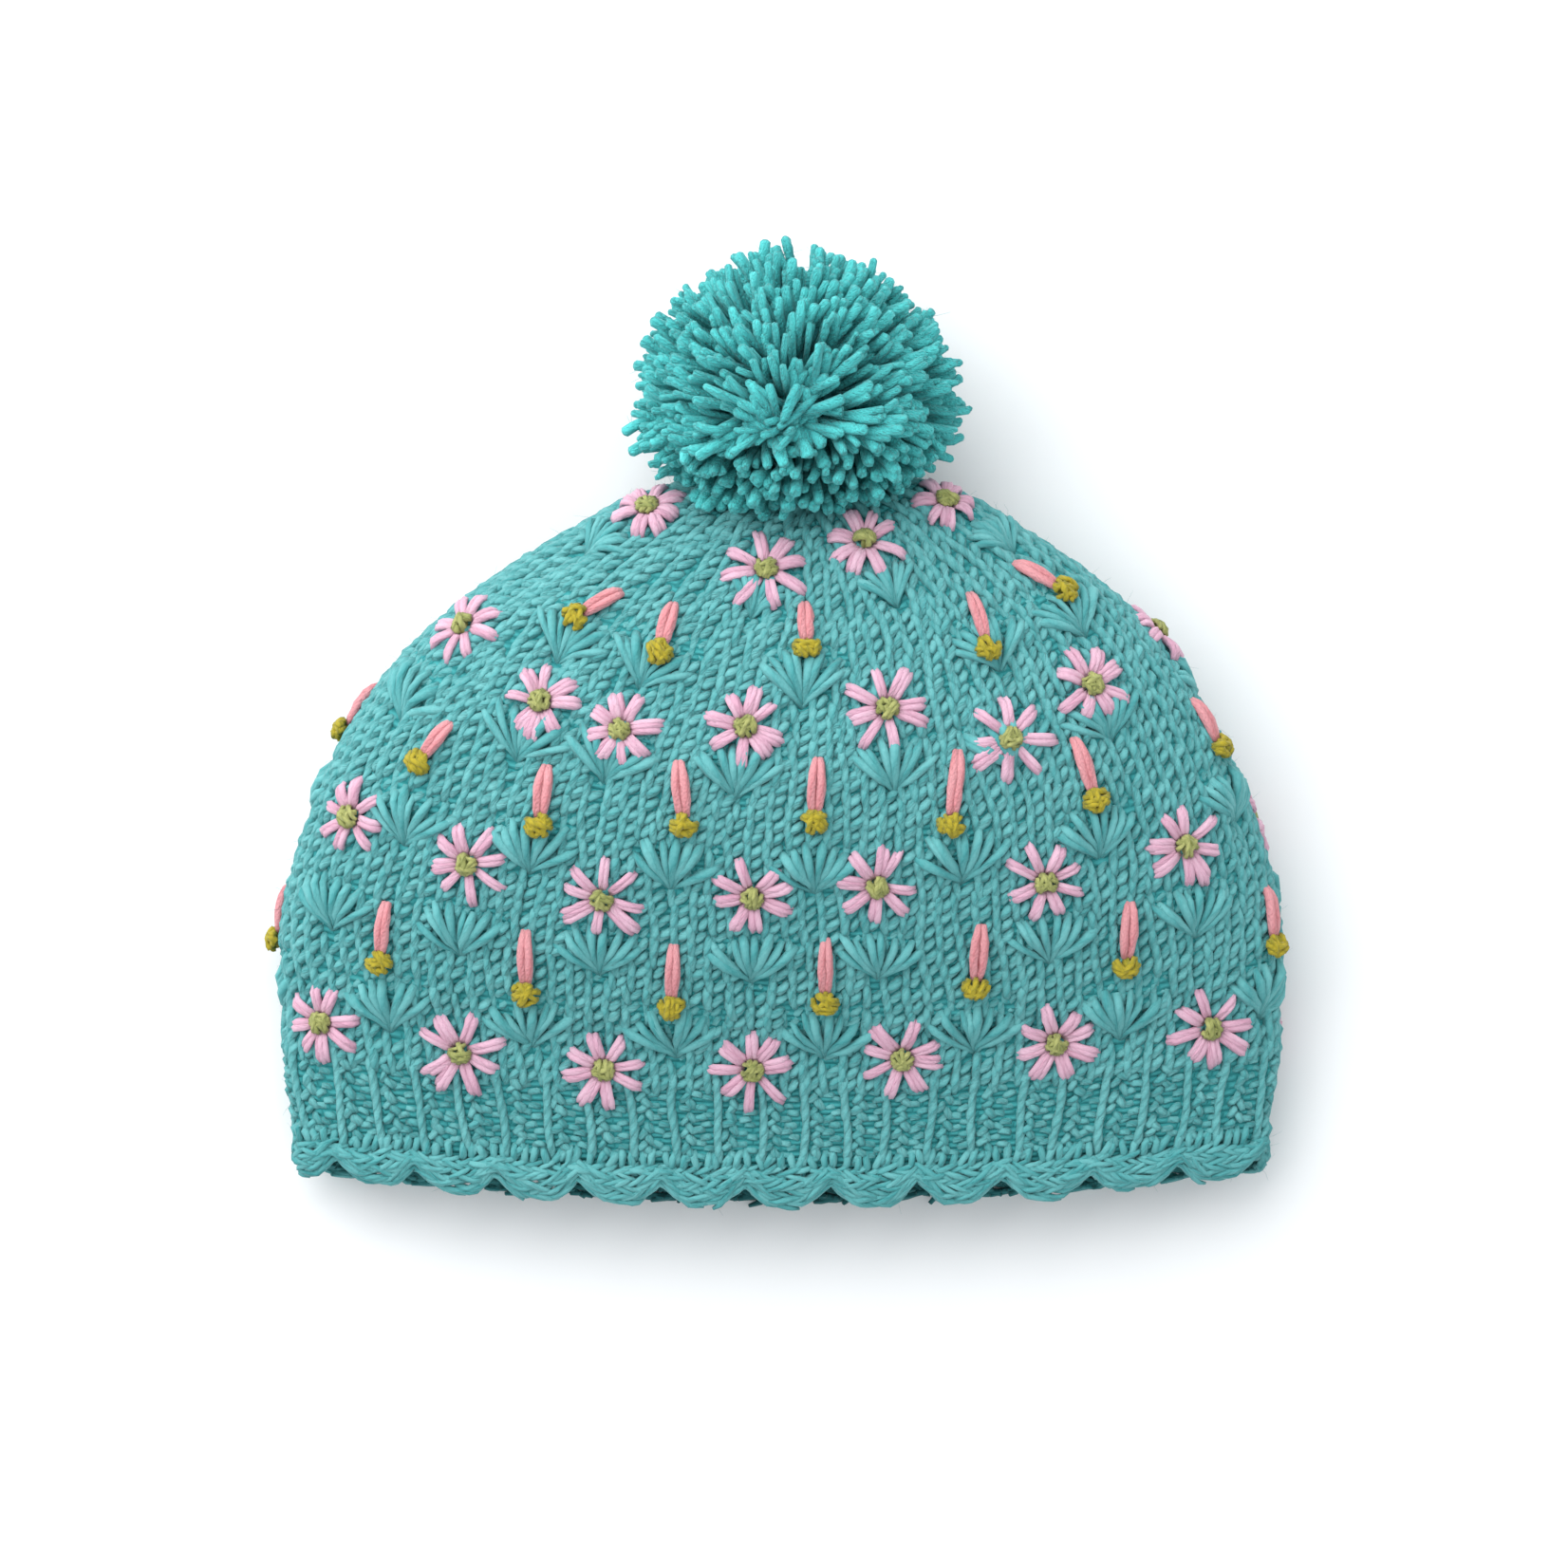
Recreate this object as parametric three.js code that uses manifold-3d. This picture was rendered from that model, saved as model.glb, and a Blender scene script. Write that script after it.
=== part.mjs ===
// A hand-knitted beanie with a pompom, lying on its back with the opening towards -Y.
// Millimetres, +Z up. The origin is the middle of the floor under the whole hat.
import * as THREE from 'three';
import { mergeVertices } from 'three/addons/utils/BufferGeometryUtils.js';
import Module from 'manifold-3d';

const wasm = await Module();
wasm.setup();

// Knitting
const WALL = 4;
const GAP = 0.3;
const JOIN_GAP = 0.4;
const REPEATS = 14;
const RIBS = 49;
const RIB_RELIEF = 0.7;
const SCALLOPS = 24;
const SCALLOP_DEPTH = 5.5;
const EDGING_BULGE = 0.8;

// Places along the middle wale of the front, measured from the lowest tip of the edging
const EDGING_TOP = 15;
const BAND_TOP = 30;
const CROWN_TIP = 184;

// Columns of facets round each tube of knitting
const CROWN_COLUMNS = 4 * REPEATS;
const BAND_COLUMNS = 2 * RIBS;
const EDGING_COLUMNS = 5 * SCALLOPS;
const CROWN_COURSES = [40, 51, 62, 73, 84, 95, 106, 117, 128, 139, 149, 158, 166, 173, 179];

// Courses of the lying hat. Each is one closed ring of stitches.
// front, side and back: its Y on the upper layer, at the folded sides and on the lower layer
// half and middle: half its width and the X of its middle
// top, wide and floor: its height on top, where it is widest, and underneath
// crispTop and crispFloor: how square the upper and lower halves of its section are
const COURSES = [
  { at: 0, front: -118.5, side: -111.5, back: -120.5, half: 120, middle: 0,
    top: 24, wide: 12, floor: 0, crispTop: 2.9, crispFloor: 3.2 },
  { at: 15, front: -103.5, side: -97.5, back: -105.5, half: 122, middle: 0,
    top: 28, wide: 13, floor: 0, crispTop: 2.9, crispFloor: 3.2 },
  { at: 30, front: -88.5, side: -79.5, back: -90.5, half: 124.5, middle: 0,
    top: 32, wide: 14, floor: 0, crispTop: 2.8, crispFloor: 3.2 },
  { at: 51.5, front: -67, side: -52, back: -70, half: 125, middle: 0,
    top: 42, wide: 17, floor: 0, crispTop: 2.7, crispFloor: 3.2 },
  { at: 78, front: -40.5, side: -21.5, back: -44.5, half: 118, middle: 0,
    top: 53, wide: 21, floor: 0, crispTop: 2.5, crispFloor: 3 },
  { at: 96.5, front: -22, side: 1.5, back: -26.5, half: 108, middle: 0.5,
    top: 59, wide: 24, floor: 0, crispTop: 2.4, crispFloor: 2.9 },
  { at: 120, front: 1.5, side: 26.5, back: -3.5, half: 89.5, middle: 2,
    top: 61, wide: 27, floor: 0, crispTop: 2.2, crispFloor: 2.7 },
  { at: 140, front: 21.5, side: 43, back: 17.5, half: 69, middle: 3.5,
    top: 58, wide: 29, floor: 1.5, crispTop: 2.1, crispFloor: 2.4 },
  { at: 160, front: 41, side: 59.5, back: 42, half: 40, middle: 5,
    top: 50, wide: 31, floor: 10, crispTop: 2, crispFloor: 2 },
  { at: 173, front: 54, side: 65, back: 56, half: 21.5, middle: 5,
    top: 42.5, wide: 32, floor: 21, crispTop: 2, crispFloor: 2 },
  { at: CROWN_TIP, front: 66.5, side: 66.5, back: 66.5, half: 0, middle: 5,
    top: 33, wide: 33, floor: 33, crispTop: 2, crispFloor: 2 },
];

// How far the underside would sag below the floor if the floor didn't flatten it
const SAG = 3;
const SAG_FULL_DEPTH = 15;
const RING_SAMPLES = 720;
const LEAST_SIZE = 0.01;
const NORMAL_STEP = 1;

// Embroidered daisies seen from above: place, turn of the first petal in degrees, petal reach
const DAISIES = [
  { x: -115, y: -71.5, turn: 8, reach: 10.5 },
  { x: -79.5, y: -78, turn: 20, reach: 11.5 },
  { x: -44, y: -82, turn: 12, reach: 11 },
  { x: -7.5, y: -83, turn: 3, reach: 11.5 },
  { x: 30, y: -80, turn: 30, reach: 12 },
  { x: 68, y: -76, turn: 18, reach: 11 },
  { x: 105.5, y: -72, turn: 10, reach: 11.5 },
  { x: -106, y: -20.5, turn: 25, reach: 10 },
  { x: -77.5, y: -32, turn: 5, reach: 11 },
  { x: -44, y: -40, turn: 35, reach: 11.5 },
  { x: -8, y: -39.5, turn: 15, reach: 11 },
  { x: 24, y: -37, turn: 40, reach: 10.5 },
  { x: 64.5, y: -36, turn: 22, reach: 11 },
  { x: 98.5, y: -27, turn: 0, reach: 11 },
  { x: -77.5, y: 26, turn: 14, reach: 10.5 },
  { x: -58, y: 8.5, turn: 28, reach: 11 },
  { x: -39.5, y: 1, turn: 9, reach: 10.5 },
  { x: -8.5, y: 1.5, turn: 33, reach: 10.5 },
  { x: 25.5, y: 6, turn: 17, reach: 11 },
  { x: 54.5, y: -1.5, turn: 2, reach: 11.5 },
  { x: 75.5, y: 12, turn: 38, reach: 11 },
  { x: -32, y: 55.5, turn: 21, reach: 9.5 },
  { x: -4.5, y: 40, turn: 11, reach: 11.5 },
  { x: 20, y: 47.5, turn: 27, reach: 10.5 },
  { x: 40, y: 57, turn: 6, reach: 8.5 },
];
const PETALS = 8;
const PETAL_HALF_WIDTH = 1.9;
const PETAL_RISE = 2.2;
const PETAL_LENGTHS = [1, 0.88, 0.97, 0.84, 1, 0.92, 0.86, 0.95];
const NOTCH_RADIUS = 3;
const KNOT_RADIUS = 2.4;
const KNOT_RISE = 3.2;

// Embroidered buds seen from above: place of the knot, lean from +Y in degrees, loop length
const BUDS = [
  { x: -97.5, y: -56, lean: 10, length: 13 },
  { x: -62.5, y: -63, lean: 2, length: 14 },
  { x: -26, y: -66, lean: 3, length: 14 },
  { x: 10.5, y: -65, lean: 1, length: 14.5 },
  { x: 47.5, y: -61.5, lean: 3, length: 14 },
  { x: 85.5, y: -56.5, lean: 0, length: 14 },
  { x: -88.5, y: -6.5, lean: 42, length: 10.5 },
  { x: -58.5, y: -21.5, lean: 8, length: 12.5 },
  { x: -24.5, y: -21.5, lean: -5, length: 13.5 },
  { x: 8.5, y: -21, lean: 3, length: 13.5 },
  { x: 42, y: -22, lean: 5, length: 16 },
  { x: 76, y: -15.5, lean: -20, length: 14 },
  { x: 106.5, y: -3.5, lean: -34, length: 11.5 },
  { x: -49.5, y: 29, lean: 56, length: 11 },
  { x: -28.5, y: 19.5, lean: 12, length: 11.5 },
  { x: 6, y: 20.5, lean: -2, length: 10 },
  { x: 49, y: 21, lean: -12, length: 14 },
  { x: 69, y: 34.5, lean: -58, length: 12 },
];

// Sections of a bud from its knot to the tip of its loop
// knot: distance along the knot; loop: share of the loop's length past the knot
const BUD_SECTIONS = [
  { knot: -2.9, loop: 0, half: 1.8, rise: 1 },
  { knot: -0.8, loop: 0, half: 3.3, rise: 3.1 },
  { knot: 1.6, loop: 0, half: 3, rise: 3.1 },
  { knot: 2.9, loop: 0, half: 1.9, rise: 1.5 },
  { knot: 2.9, loop: 0.55, half: 2.6, rise: 2.4 },
  { knot: 2.9, loop: 1, half: 1.1, rise: 1.1 },
];
const BUD_SHOULDER = 0.55;

// Rays look down on the whole hat, and on a stitched piece from this height over its seat
const SIGHT_HEIGHT = 100;
const SEAT_HEIGHT = 12;

// Places on an underside triangle where its height over the knit is tested
const UNDERSIDE_SAMPLES = [
  [1 / 3, 1 / 3, 1 / 3], [0.5, 0.5, 0], [0, 0.5, 0.5], [0.5, 0, 0.5],
  [0.75, 0.25, 0], [0, 0.75, 0.25], [0.25, 0, 0.75], [0.6, 0.2, 0.2], [0.2, 0.6, 0.2], [0.2, 0.2, 0.6],
];

// Pompom of cut yarn, tied at the tip of the crown and resting on the floor
const POMPOM = { x: 3.5, y: 85.3, z: 37, halfX: 41, halfY: 34.5, halfZ: 37 };
const CORE_SHARE = 0.8;
const CORE_DETAIL = 1;
const LOCKS = 56;
const LOCK_SIDES = 5;
const LOCK_ROOT = 6;
const LOCK_END = 6;
const LOCK_REACHES = [1, 0.95, 1.03, 0.97];
const LOCK_BACK = -0.9;
const POMPOM_CLEARANCE = 1.2;
const DAISY_ROOM = 1;
const DAISY_ROOM_SIDES = 12;
const TIE_RADIUS = 7;
const TIE_SIDES = 10;
const TIE_START = 56;
const POMPOM_CUT_START = 117;
const FLOOR_SLAB = 40;

const turquoiseYarn = new THREE.MeshStandardMaterial({ color: 0x4fa9a7, roughness: 0.9, metalness: 0 });
const pompomYarn = new THREE.MeshStandardMaterial({ color: 0x3fa09f, roughness: 0.92, metalness: 0 });
const pinkYarn = new THREE.MeshStandardMaterial({ color: 0xe6aeca, roughness: 0.85, metalness: 0 });
const coralYarn = new THREE.MeshStandardMaterial({ color: 0xf09094, roughness: 0.85, metalness: 0 });

// Smooth curve through one column of the course table
function courseValue(name, at) {
  const last = COURSES.length - 1;
  const slope = (i) => (COURSES[i + 1][name] - COURSES[i][name]) / (COURSES[i + 1].at - COURSES[i].at);
  const tangent = (i) => {
    if (i === 0) return slope(0);
    if (i === last) return slope(last - 1);
    const before = COURSES[i].at - COURSES[i - 1].at;
    const after = COURSES[i + 1].at - COURSES[i].at;
    return (slope(i - 1) * after + slope(i) * before) / (before + after);
  };
  let i = 0;
  while (i < last - 1 && at > COURSES[i + 1].at) i += 1;
  const span = COURSES[i + 1].at - COURSES[i].at;
  const t = (at - COURSES[i].at) / span;
  return (2 * t ** 3 - 3 * t ** 2 + 1) * COURSES[i][name]
    + (t ** 3 - 2 * t ** 2 + t) * span * tangent(i)
    + (3 * t ** 2 - 2 * t ** 3) * COURSES[i + 1][name]
    + (t ** 3 - t ** 2) * span * tangent(i + 1);
}

// One course as equally spaced points, from the middle of the front towards +X
function coursePoints(at, columns) {
  const names = ['front', 'side', 'back', 'half', 'middle', 'top', 'wide', 'floor', 'crispTop', 'crispFloor'];
  const c = Object.fromEntries(names.map((name) => [name, courseValue(name, at)]));
  const half = Math.max(c.half, LEAST_SIZE);
  c.floor = Math.max(c.floor, 0);
  const sag = SAG * THREE.MathUtils.clamp((c.wide - c.floor) / SAG_FULL_DEPTH, 0, 1);
  const above = Math.max(c.top - c.wide, LEAST_SIZE);
  const below = Math.max(c.wide - c.floor + sag, LEAST_SIZE);
  const samples = [];
  const lengths = [0];
  for (let i = 0; i <= RING_SAMPLES; i += 1) {
    const angle = (i / RING_SAMPLES) * 2 * Math.PI;
    const upper = Math.cos(angle) >= 0;
    const power = upper ? c.crispTop : c.crispFloor;
    const across = Math.abs(Math.sin(angle) / half) ** power;
    const upright = Math.abs(Math.cos(angle) / (upper ? above : below)) ** power;
    const radius = (across + upright) ** (-1 / power);
    const x = radius * Math.sin(angle);
    const z = Math.max(c.wide + radius * Math.cos(angle), c.floor);
    const bow = Math.min(Math.abs(x) / half, 1) ** 2;
    const y = upper ? c.front + (c.side - c.front) * bow : c.back + (c.side - c.back) * bow;
    samples.push(new THREE.Vector3(c.middle + x, y, z));
    if (i > 0) lengths.push(lengths[i - 1] + samples[i].distanceTo(samples[i - 1]));
  }
  const points = [];
  let k = 0;
  for (let j = 0; j < columns; j += 1) {
    const along = (j / columns) * lengths[RING_SAMPLES];
    while (lengths[k + 1] < along) k += 1;
    const share = (along - lengths[k]) / (lengths[k + 1] - lengths[k]);
    points.push(samples[k].clone().lerp(samples[k + 1], share));
  }
  return points;
}

const courseCache = new Map();
function course(at, columns) {
  const key = `${at.toFixed(3)} ${columns}`;
  if (!courseCache.has(key)) courseCache.set(key, coursePoints(at, columns));
  return courseCache.get(key);
}

// Point of the outer skin, moved outwards by lift
function skinPoint(at, column, columns, lift) {
  const ring = course(at, columns);
  const point = ring[column].clone();
  const round = ring[(column + 1) % columns].clone().sub(ring[(column + columns - 1) % columns]);
  const higher = course(Math.min(at + NORMAL_STEP, CROWN_TIP - LEAST_SIZE), columns)[column];
  const lower = course(Math.max(at - NORMAL_STEP, 0), columns)[column];
  const normal = round.cross(higher.clone().sub(lower)).normalize();
  point.addScaledVector(normal, lift);
  point.z = Math.max(point.z, 0);
  return point;
}

// Closed mesh from a chain of rings; each end is a fan to a point, or the chain joins itself
function ringSolid(rings, ends) {
  const columns = rings[0].length;
  const positions = rings.flat().flatMap((p) => [p.x, p.y, p.z]);
  const index = [];
  const joinRings = (a, b) => {
    for (let j = 0; j < columns; j += 1) {
      const next = (j + 1) % columns;
      index.push(a * columns + j, a * columns + next, b * columns + next);
      index.push(a * columns + j, b * columns + next, b * columns + j);
    }
  };
  for (let i = 0; i + 1 < rings.length; i += 1) joinRings(i, i + 1);
  if (ends) {
    const first = rings.length * columns;
    positions.push(ends[0].x, ends[0].y, ends[0].z, ends[1].x, ends[1].y, ends[1].z);
    const lastRing = (rings.length - 1) * columns;
    for (let j = 0; j < columns; j += 1) {
      const next = (j + 1) % columns;
      index.push(first, next, j);
      index.push(first + 1, lastRing + j, lastRing + next);
    }
  } else {
    joinRings(rings.length - 1, 0);
  }
  return facingOut(positions, index);
}

// Geometry whose faces point outwards
function facingOut(positions, index) {
  const corner = (i) => new THREE.Vector3().fromArray(positions, index[i] * 3);
  let volume = 0;
  for (let i = 0; i < index.length; i += 3) volume += corner(i).dot(corner(i + 1).cross(corner(i + 2)));
  if (volume < 0) {
    for (let i = 0; i < index.length; i += 3) [index[i + 1], index[i + 2]] = [index[i + 2], index[i + 1]];
  }
  const geometry = new THREE.BufferGeometry();
  geometry.setAttribute('position', new THREE.Float32BufferAttribute(positions, 3));
  geometry.setIndex(index);
  geometry.computeVertexNormals();
  return geometry;
}

// Ring of the skin whose place and lift may change from column to column
function ring(columns, atOf, liftOf) {
  return Array.from({ length: columns }, (_, j) => skinPoint(atOf(j), j, columns, liftOf(j)));
}

// Crown: a hollow knitted dome, open at the band and closed at its tip
function crownGeometry() {
  const courses = [BAND_TOP + JOIN_GAP / 2, ...CROWN_COURSES];
  const outer = courses.map((at) => ring(CROWN_COLUMNS, () => at, () => 0));
  const inner = courses.map((at) => ring(CROWN_COLUMNS, () => at, () => -WALL));
  const tip = course(CROWN_TIP, CROWN_COLUMNS)[0];
  const innerTip = tip.clone().add(new THREE.Vector3(0, -WALL, 0));
  return ringSolid([...inner.reverse(), ...outer], [innerTip, tip]);
}

// Ribbed band: raised knit columns with lower purl columns between them
function bandGeometry() {
  const relief = (j) => (j % 2 === 0 ? RIB_RELIEF : -RIB_RELIEF);
  const from = EDGING_TOP + JOIN_GAP / 2;
  const to = BAND_TOP - JOIN_GAP / 2;
  const middle = (from + to) / 2;
  return ringSolid([
    ring(BAND_COLUMNS, () => from, () => 0),
    ring(BAND_COLUMNS, () => middle, relief),
    ring(BAND_COLUMNS, () => to, () => 0),
    ring(BAND_COLUMNS, () => to, () => -WALL),
    ring(BAND_COLUMNS, () => from, () => -WALL),
  ]);
}

// Crocheted edging: a round cord of a rim whose lower edge hangs in scallops
function edgingGeometry() {
  const perScallop = EDGING_COLUMNS / SCALLOPS;
  const notch = (j) => SCALLOP_DEPTH * Math.abs((2 * (j % perScallop)) / perScallop - 1) ** 2;
  const to = EDGING_TOP - JOIN_GAP / 2;
  return ringSolid([
    ring(EDGING_COLUMNS, notch, () => 0),
    ring(EDGING_COLUMNS, (j) => notch(j) + WALL / 2, () => EDGING_BULGE),
    ring(EDGING_COLUMNS, () => to, () => 0),
    ring(EDGING_COLUMNS, () => to, () => -WALL),
    ring(EDGING_COLUMNS, notch, () => -WALL),
  ]);
}

// The hat's outer form as one full solid, from one course to the tip, lifted course by course
function outerForm(courses, liftOf) {
  const rings = courses.map((at) => ring(CROWN_COLUMNS, () => at, () => liftOf(at)));
  const middle = new THREE.Vector3();
  rings[0].forEach((point) => middle.addScaledVector(point, 1 / CROWN_COLUMNS));
  const tip = course(CROWN_TIP, CROWN_COLUMNS)[0].clone();
  tip.y += liftOf(CROWN_TIP);
  return ringSolid(rings, [middle, tip]);
}

// The skin that the embroidery lies on: the crown's own facets and the tops of the ribs
const bandMiddle = (EDGING_TOP + BAND_TOP) / 2;
const skin = new THREE.Mesh(outerForm(
  [EDGING_TOP, bandMiddle, BAND_TOP + JOIN_GAP / 2, ...CROWN_COURSES],
  (at) => (at === bandMiddle ? RIB_RELIEF : 0)));
const caster = new THREE.Raycaster();

function named(name, geometry, material) {
  const mesh = new THREE.Mesh(geometry, material);
  mesh.name = name;
  return mesh;
}

// Seat on the knit below a place seen from above: point, outward direction, and two directions
// along the knit, the first at the given turn from +Y
function seatAt(x, y, turnDegrees) {
  caster.set(new THREE.Vector3(x, y, SIGHT_HEIGHT), new THREE.Vector3(0, 0, -1));
  const hits = caster.intersectObject(skin);
  const point = hits[0].point;
  const out = hits[0].face.normal.clone();
  const turn = THREE.MathUtils.degToRad(turnDegrees);
  const along = new THREE.Vector3(Math.sin(turn), Math.cos(turn), 0);
  along.addScaledVector(out, -along.dot(out)).normalize();
  const across = along.clone().cross(out);
  return { point, out, along, across };
}

// Height of the knit over the seat's plane, under a place on that plane
function seatHeight(seat, across, along) {
  const start = seat.point.clone().addScaledVector(seat.across, across).addScaledVector(seat.along, along);
  caster.set(start.addScaledVector(seat.out, SEAT_HEIGHT), seat.out.clone().negate());
  const hits = caster.intersectObject(skin);
  return hits.length > 0 ? SEAT_HEIGHT - hits[0].distance : -SEAT_HEIGHT;
}

// Lays a stitched piece on the knit, lifted until each triangle of its underside clears it
function seatedGeometry(seat, places, index, under) {
  const depths = places.map((p) => seatHeight(seat, p.across, p.along));
  let lift = GAP;
  for (const corners of under) {
    for (const shares of UNDERSIDE_SAMPLES) {
      const mean = (values) => corners.reduce((sum, corner, i) => sum + values[corner] * shares[i], 0);
      const across = mean(places.map((p) => p.across));
      const along = mean(places.map((p) => p.along));
      lift = Math.max(lift, GAP + seatHeight(seat, across, along) - mean(depths));
    }
  }
  const positions = places.flatMap((p, i) => {
    const height = depths[i] + lift + (p.rise ?? 0);
    const point = seat.point.clone().addScaledVector(seat.across, p.across);
    point.addScaledVector(seat.along, p.along).addScaledVector(seat.out, height);
    return point.toArray();
  });
  return facingOut(positions, index);
}

// Daisy: eight padded petals fused round a French knot
function daisyGeometry({ x, y, turn, reach }) {
  const seat = seatAt(x, y, 0);
  const polar = (radius, degrees, rise) => {
    const angle = THREE.MathUtils.degToRad(degrees);
    return { across: radius * Math.sin(angle), along: radius * Math.cos(angle), rise };
  };
  const step = 360 / PETALS;
  const base = [];
  const raised = [];
  for (let k = 0; k < PETALS; k += 1) {
    const length = reach * PETAL_LENGTHS[k];
    const spread = THREE.MathUtils.radToDeg(PETAL_HALF_WIDTH / length);
    const middle = turn + k * step;
    base.push(polar(NOTCH_RADIUS, middle - step / 2));
    base.push(polar(length, middle - spread), polar(length, middle + spread));
    raised.push(polar(KNOT_RADIUS, middle - step / 2, KNOT_RISE * 0.8));
    raised.push(polar(length * 0.45, middle, PETAL_RISE), polar(length * 0.85, middle, PETAL_RISE * 0.85));
  }
  base.push(polar(0, 0));
  raised.push(polar(0, 0, KNOT_RISE));
  const heel = base.length - 1;
  const first = base.length;
  const crest = first + raised.length - 1;
  const index = [];
  const under = [];
  for (let k = 0; k < PETALS; k += 1) {
    const next = (k + 1) % PETALS;
    const [notch, left, right, notchNext] = [3 * k, 3 * k + 1, 3 * k + 2, 3 * next];
    const [knot, inner, outer, knotNext] = [0, 1, 2, 3].map((i) => first + (i < 3 ? 3 * k + i : 3 * next));
    index.push(notch, outer, left, notch, inner, outer, left, outer, right);
    index.push(right, inner, notchNext, right, outer, inner);
    index.push(notch, knot, inner, inner, knotNext, notchNext, inner, knot, knotNext, knot, crest, knotNext);
    under.push([heel, notch, left], [heel, left, right], [heel, right, notchNext]);
  }
  index.push(...under.flat());
  return seatedGeometry(seat, [...base, ...raised], index, under);
}

// Bud: a knot with one looped stitch fused above it
function budGeometry({ x, y, lean, length }) {
  const seat = seatAt(x, y, lean);
  const base = [];
  const raised = [];
  for (const section of BUD_SECTIONS) {
    const along = section.knot + section.loop * length;
    base.push({ across: -section.half, along }, { across: section.half, along });
    const shoulder = section.half * BUD_SHOULDER;
    raised.push({ across: -shoulder, along, rise: section.rise });
    raised.push({ across: shoulder, along, rise: section.rise });
  }
  const first = base.length;
  const last = BUD_SECTIONS.length - 1;
  const index = [];
  const under = [];
  for (let i = 0; i < last; i += 1) {
    const corners = [2 * i, first + 2 * i, first + 2 * i + 1, 2 * i + 1];
    for (let side = 0; side < 4; side += 1) {
      const a = corners[side];
      const b = corners[(side + 1) % 4];
      index.push(a, a + 2, b + 2, a, b + 2, b);
    }
    under.push([2 * i, 2 * i + 1, 2 * i + 3], [2 * i, 2 * i + 3, 2 * i + 2]);
  }
  for (const [i, flip] of [[0, false], [last, true]]) {
    const quad = [2 * i, first + 2 * i, first + 2 * i + 1, 2 * i + 1];
    if (flip) quad.reverse();
    index.push(quad[0], quad[1], quad[2], quad[0], quad[2], quad[3]);
  }
  return seatedGeometry(seat, [...base, ...raised], index, under);
}

// Closed geometry as a solid for joining and cutting, and back
function toSolid(geometry) {
  const bare = geometry.clone();
  bare.deleteAttribute('normal');
  bare.deleteAttribute('uv');
  const merged = mergeVertices(bare);
  const vertProperties = new Float32Array(merged.attributes.position.array);
  const triVerts = new Uint32Array(merged.index.array);
  return new wasm.Manifold(new wasm.Mesh({ numProp: 3, vertProperties, triVerts }));
}

function toGeometry(solid) {
  const mesh = solid.getMesh();
  const geometry = new THREE.BufferGeometry();
  geometry.setAttribute('position', new THREE.BufferAttribute(new Float32Array(mesh.vertProperties), 3));
  geometry.setIndex(new THREE.BufferAttribute(new Uint32Array(mesh.triVerts), 1));
  geometry.computeVertexNormals();
  return geometry;
}

// The crown's upper end grown by a clearance, for cutting what lies against it
function grownCrown(clearance) {
  const courses = CROWN_COURSES.filter((at) => at >= POMPOM_CUT_START);
  return toSolid(outerForm(courses, () => clearance));
}

// Pompom: locks of cut yarn fused to a round core, hollowed where the crown's tip sits in it
function pompomGeometry() {
  const centre = new THREE.Vector3(POMPOM.x, POMPOM.y, POMPOM.z);
  const halves = new THREE.Vector3(POMPOM.halfX, POMPOM.halfY, POMPOM.halfZ);
  const core = new THREE.IcosahedronGeometry(CORE_SHARE, CORE_DETAIL);
  core.scale(halves.x, halves.y, halves.z).translate(centre.x, centre.y, centre.z);
  let pompom = toSolid(core);
  const goldenAngle = Math.PI * (3 - Math.sqrt(5));
  for (let i = 0; i < LOCKS; i += 1) {
    const height = 1 - (2 * i + 1) / LOCKS;
    const flat = Math.sqrt(1 - height * height);
    const direction = new THREE.Vector3(
      flat * Math.cos(i * goldenAngle), flat * Math.sin(i * goldenAngle), height);
    if (direction.y < LOCK_BACK) continue;
    const end = direction.clone().multiply(halves).multiplyScalar(LOCK_REACHES[i % LOCK_REACHES.length]);
    const length = end.length();
    const lock = new THREE.CylinderGeometry(LOCK_END, LOCK_ROOT, length / 2, LOCK_SIDES);
    lock.translate(0, (length * 3) / 4, 0);
    lock.applyQuaternion(new THREE.Quaternion().setFromUnitVectors(
      new THREE.Vector3(0, 1, 0), end.clone().normalize()));
    lock.translate(centre.x, centre.y, centre.z);
    pompom = pompom.add(toSolid(lock));
  }
  pompom = pompom.subtract(grownCrown(POMPOM_CLEARANCE));
  for (const { x, y, reach } of DAISIES.filter((row) => row.y > POMPOM.y - 2 * POMPOM.halfY)) {
    const seat = seatAt(x, y, 0);
    const radius = reach + DAISY_ROOM;
    const room = new THREE.CylinderGeometry(radius, radius, 4 * KNOT_RISE, DAISY_ROOM_SIDES);
    room.applyQuaternion(new THREE.Quaternion().setFromUnitVectors(new THREE.Vector3(0, 1, 0), seat.out));
    room.translate(seat.point.x, seat.point.y, seat.point.z);
    pompom = pompom.subtract(toSolid(room));
  }
  const tie = new THREE.CylinderGeometry(TIE_RADIUS, TIE_RADIUS, POMPOM.y - TIE_START, TIE_SIDES);
  tie.translate(courseValue('middle', CROWN_TIP), (POMPOM.y + TIE_START) / 2, courseValue('wide', CROWN_TIP));
  pompom = pompom.add(toSolid(tie)).subtract(grownCrown(GAP));
  const slab = new THREE.BoxGeometry(4 * POMPOM.halfX, 4 * POMPOM.halfY, FLOOR_SLAB);
  slab.translate(POMPOM.x, POMPOM.y, -FLOOR_SLAB / 2);
  return toGeometry(pompom.subtract(toSolid(slab)));
}

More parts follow.
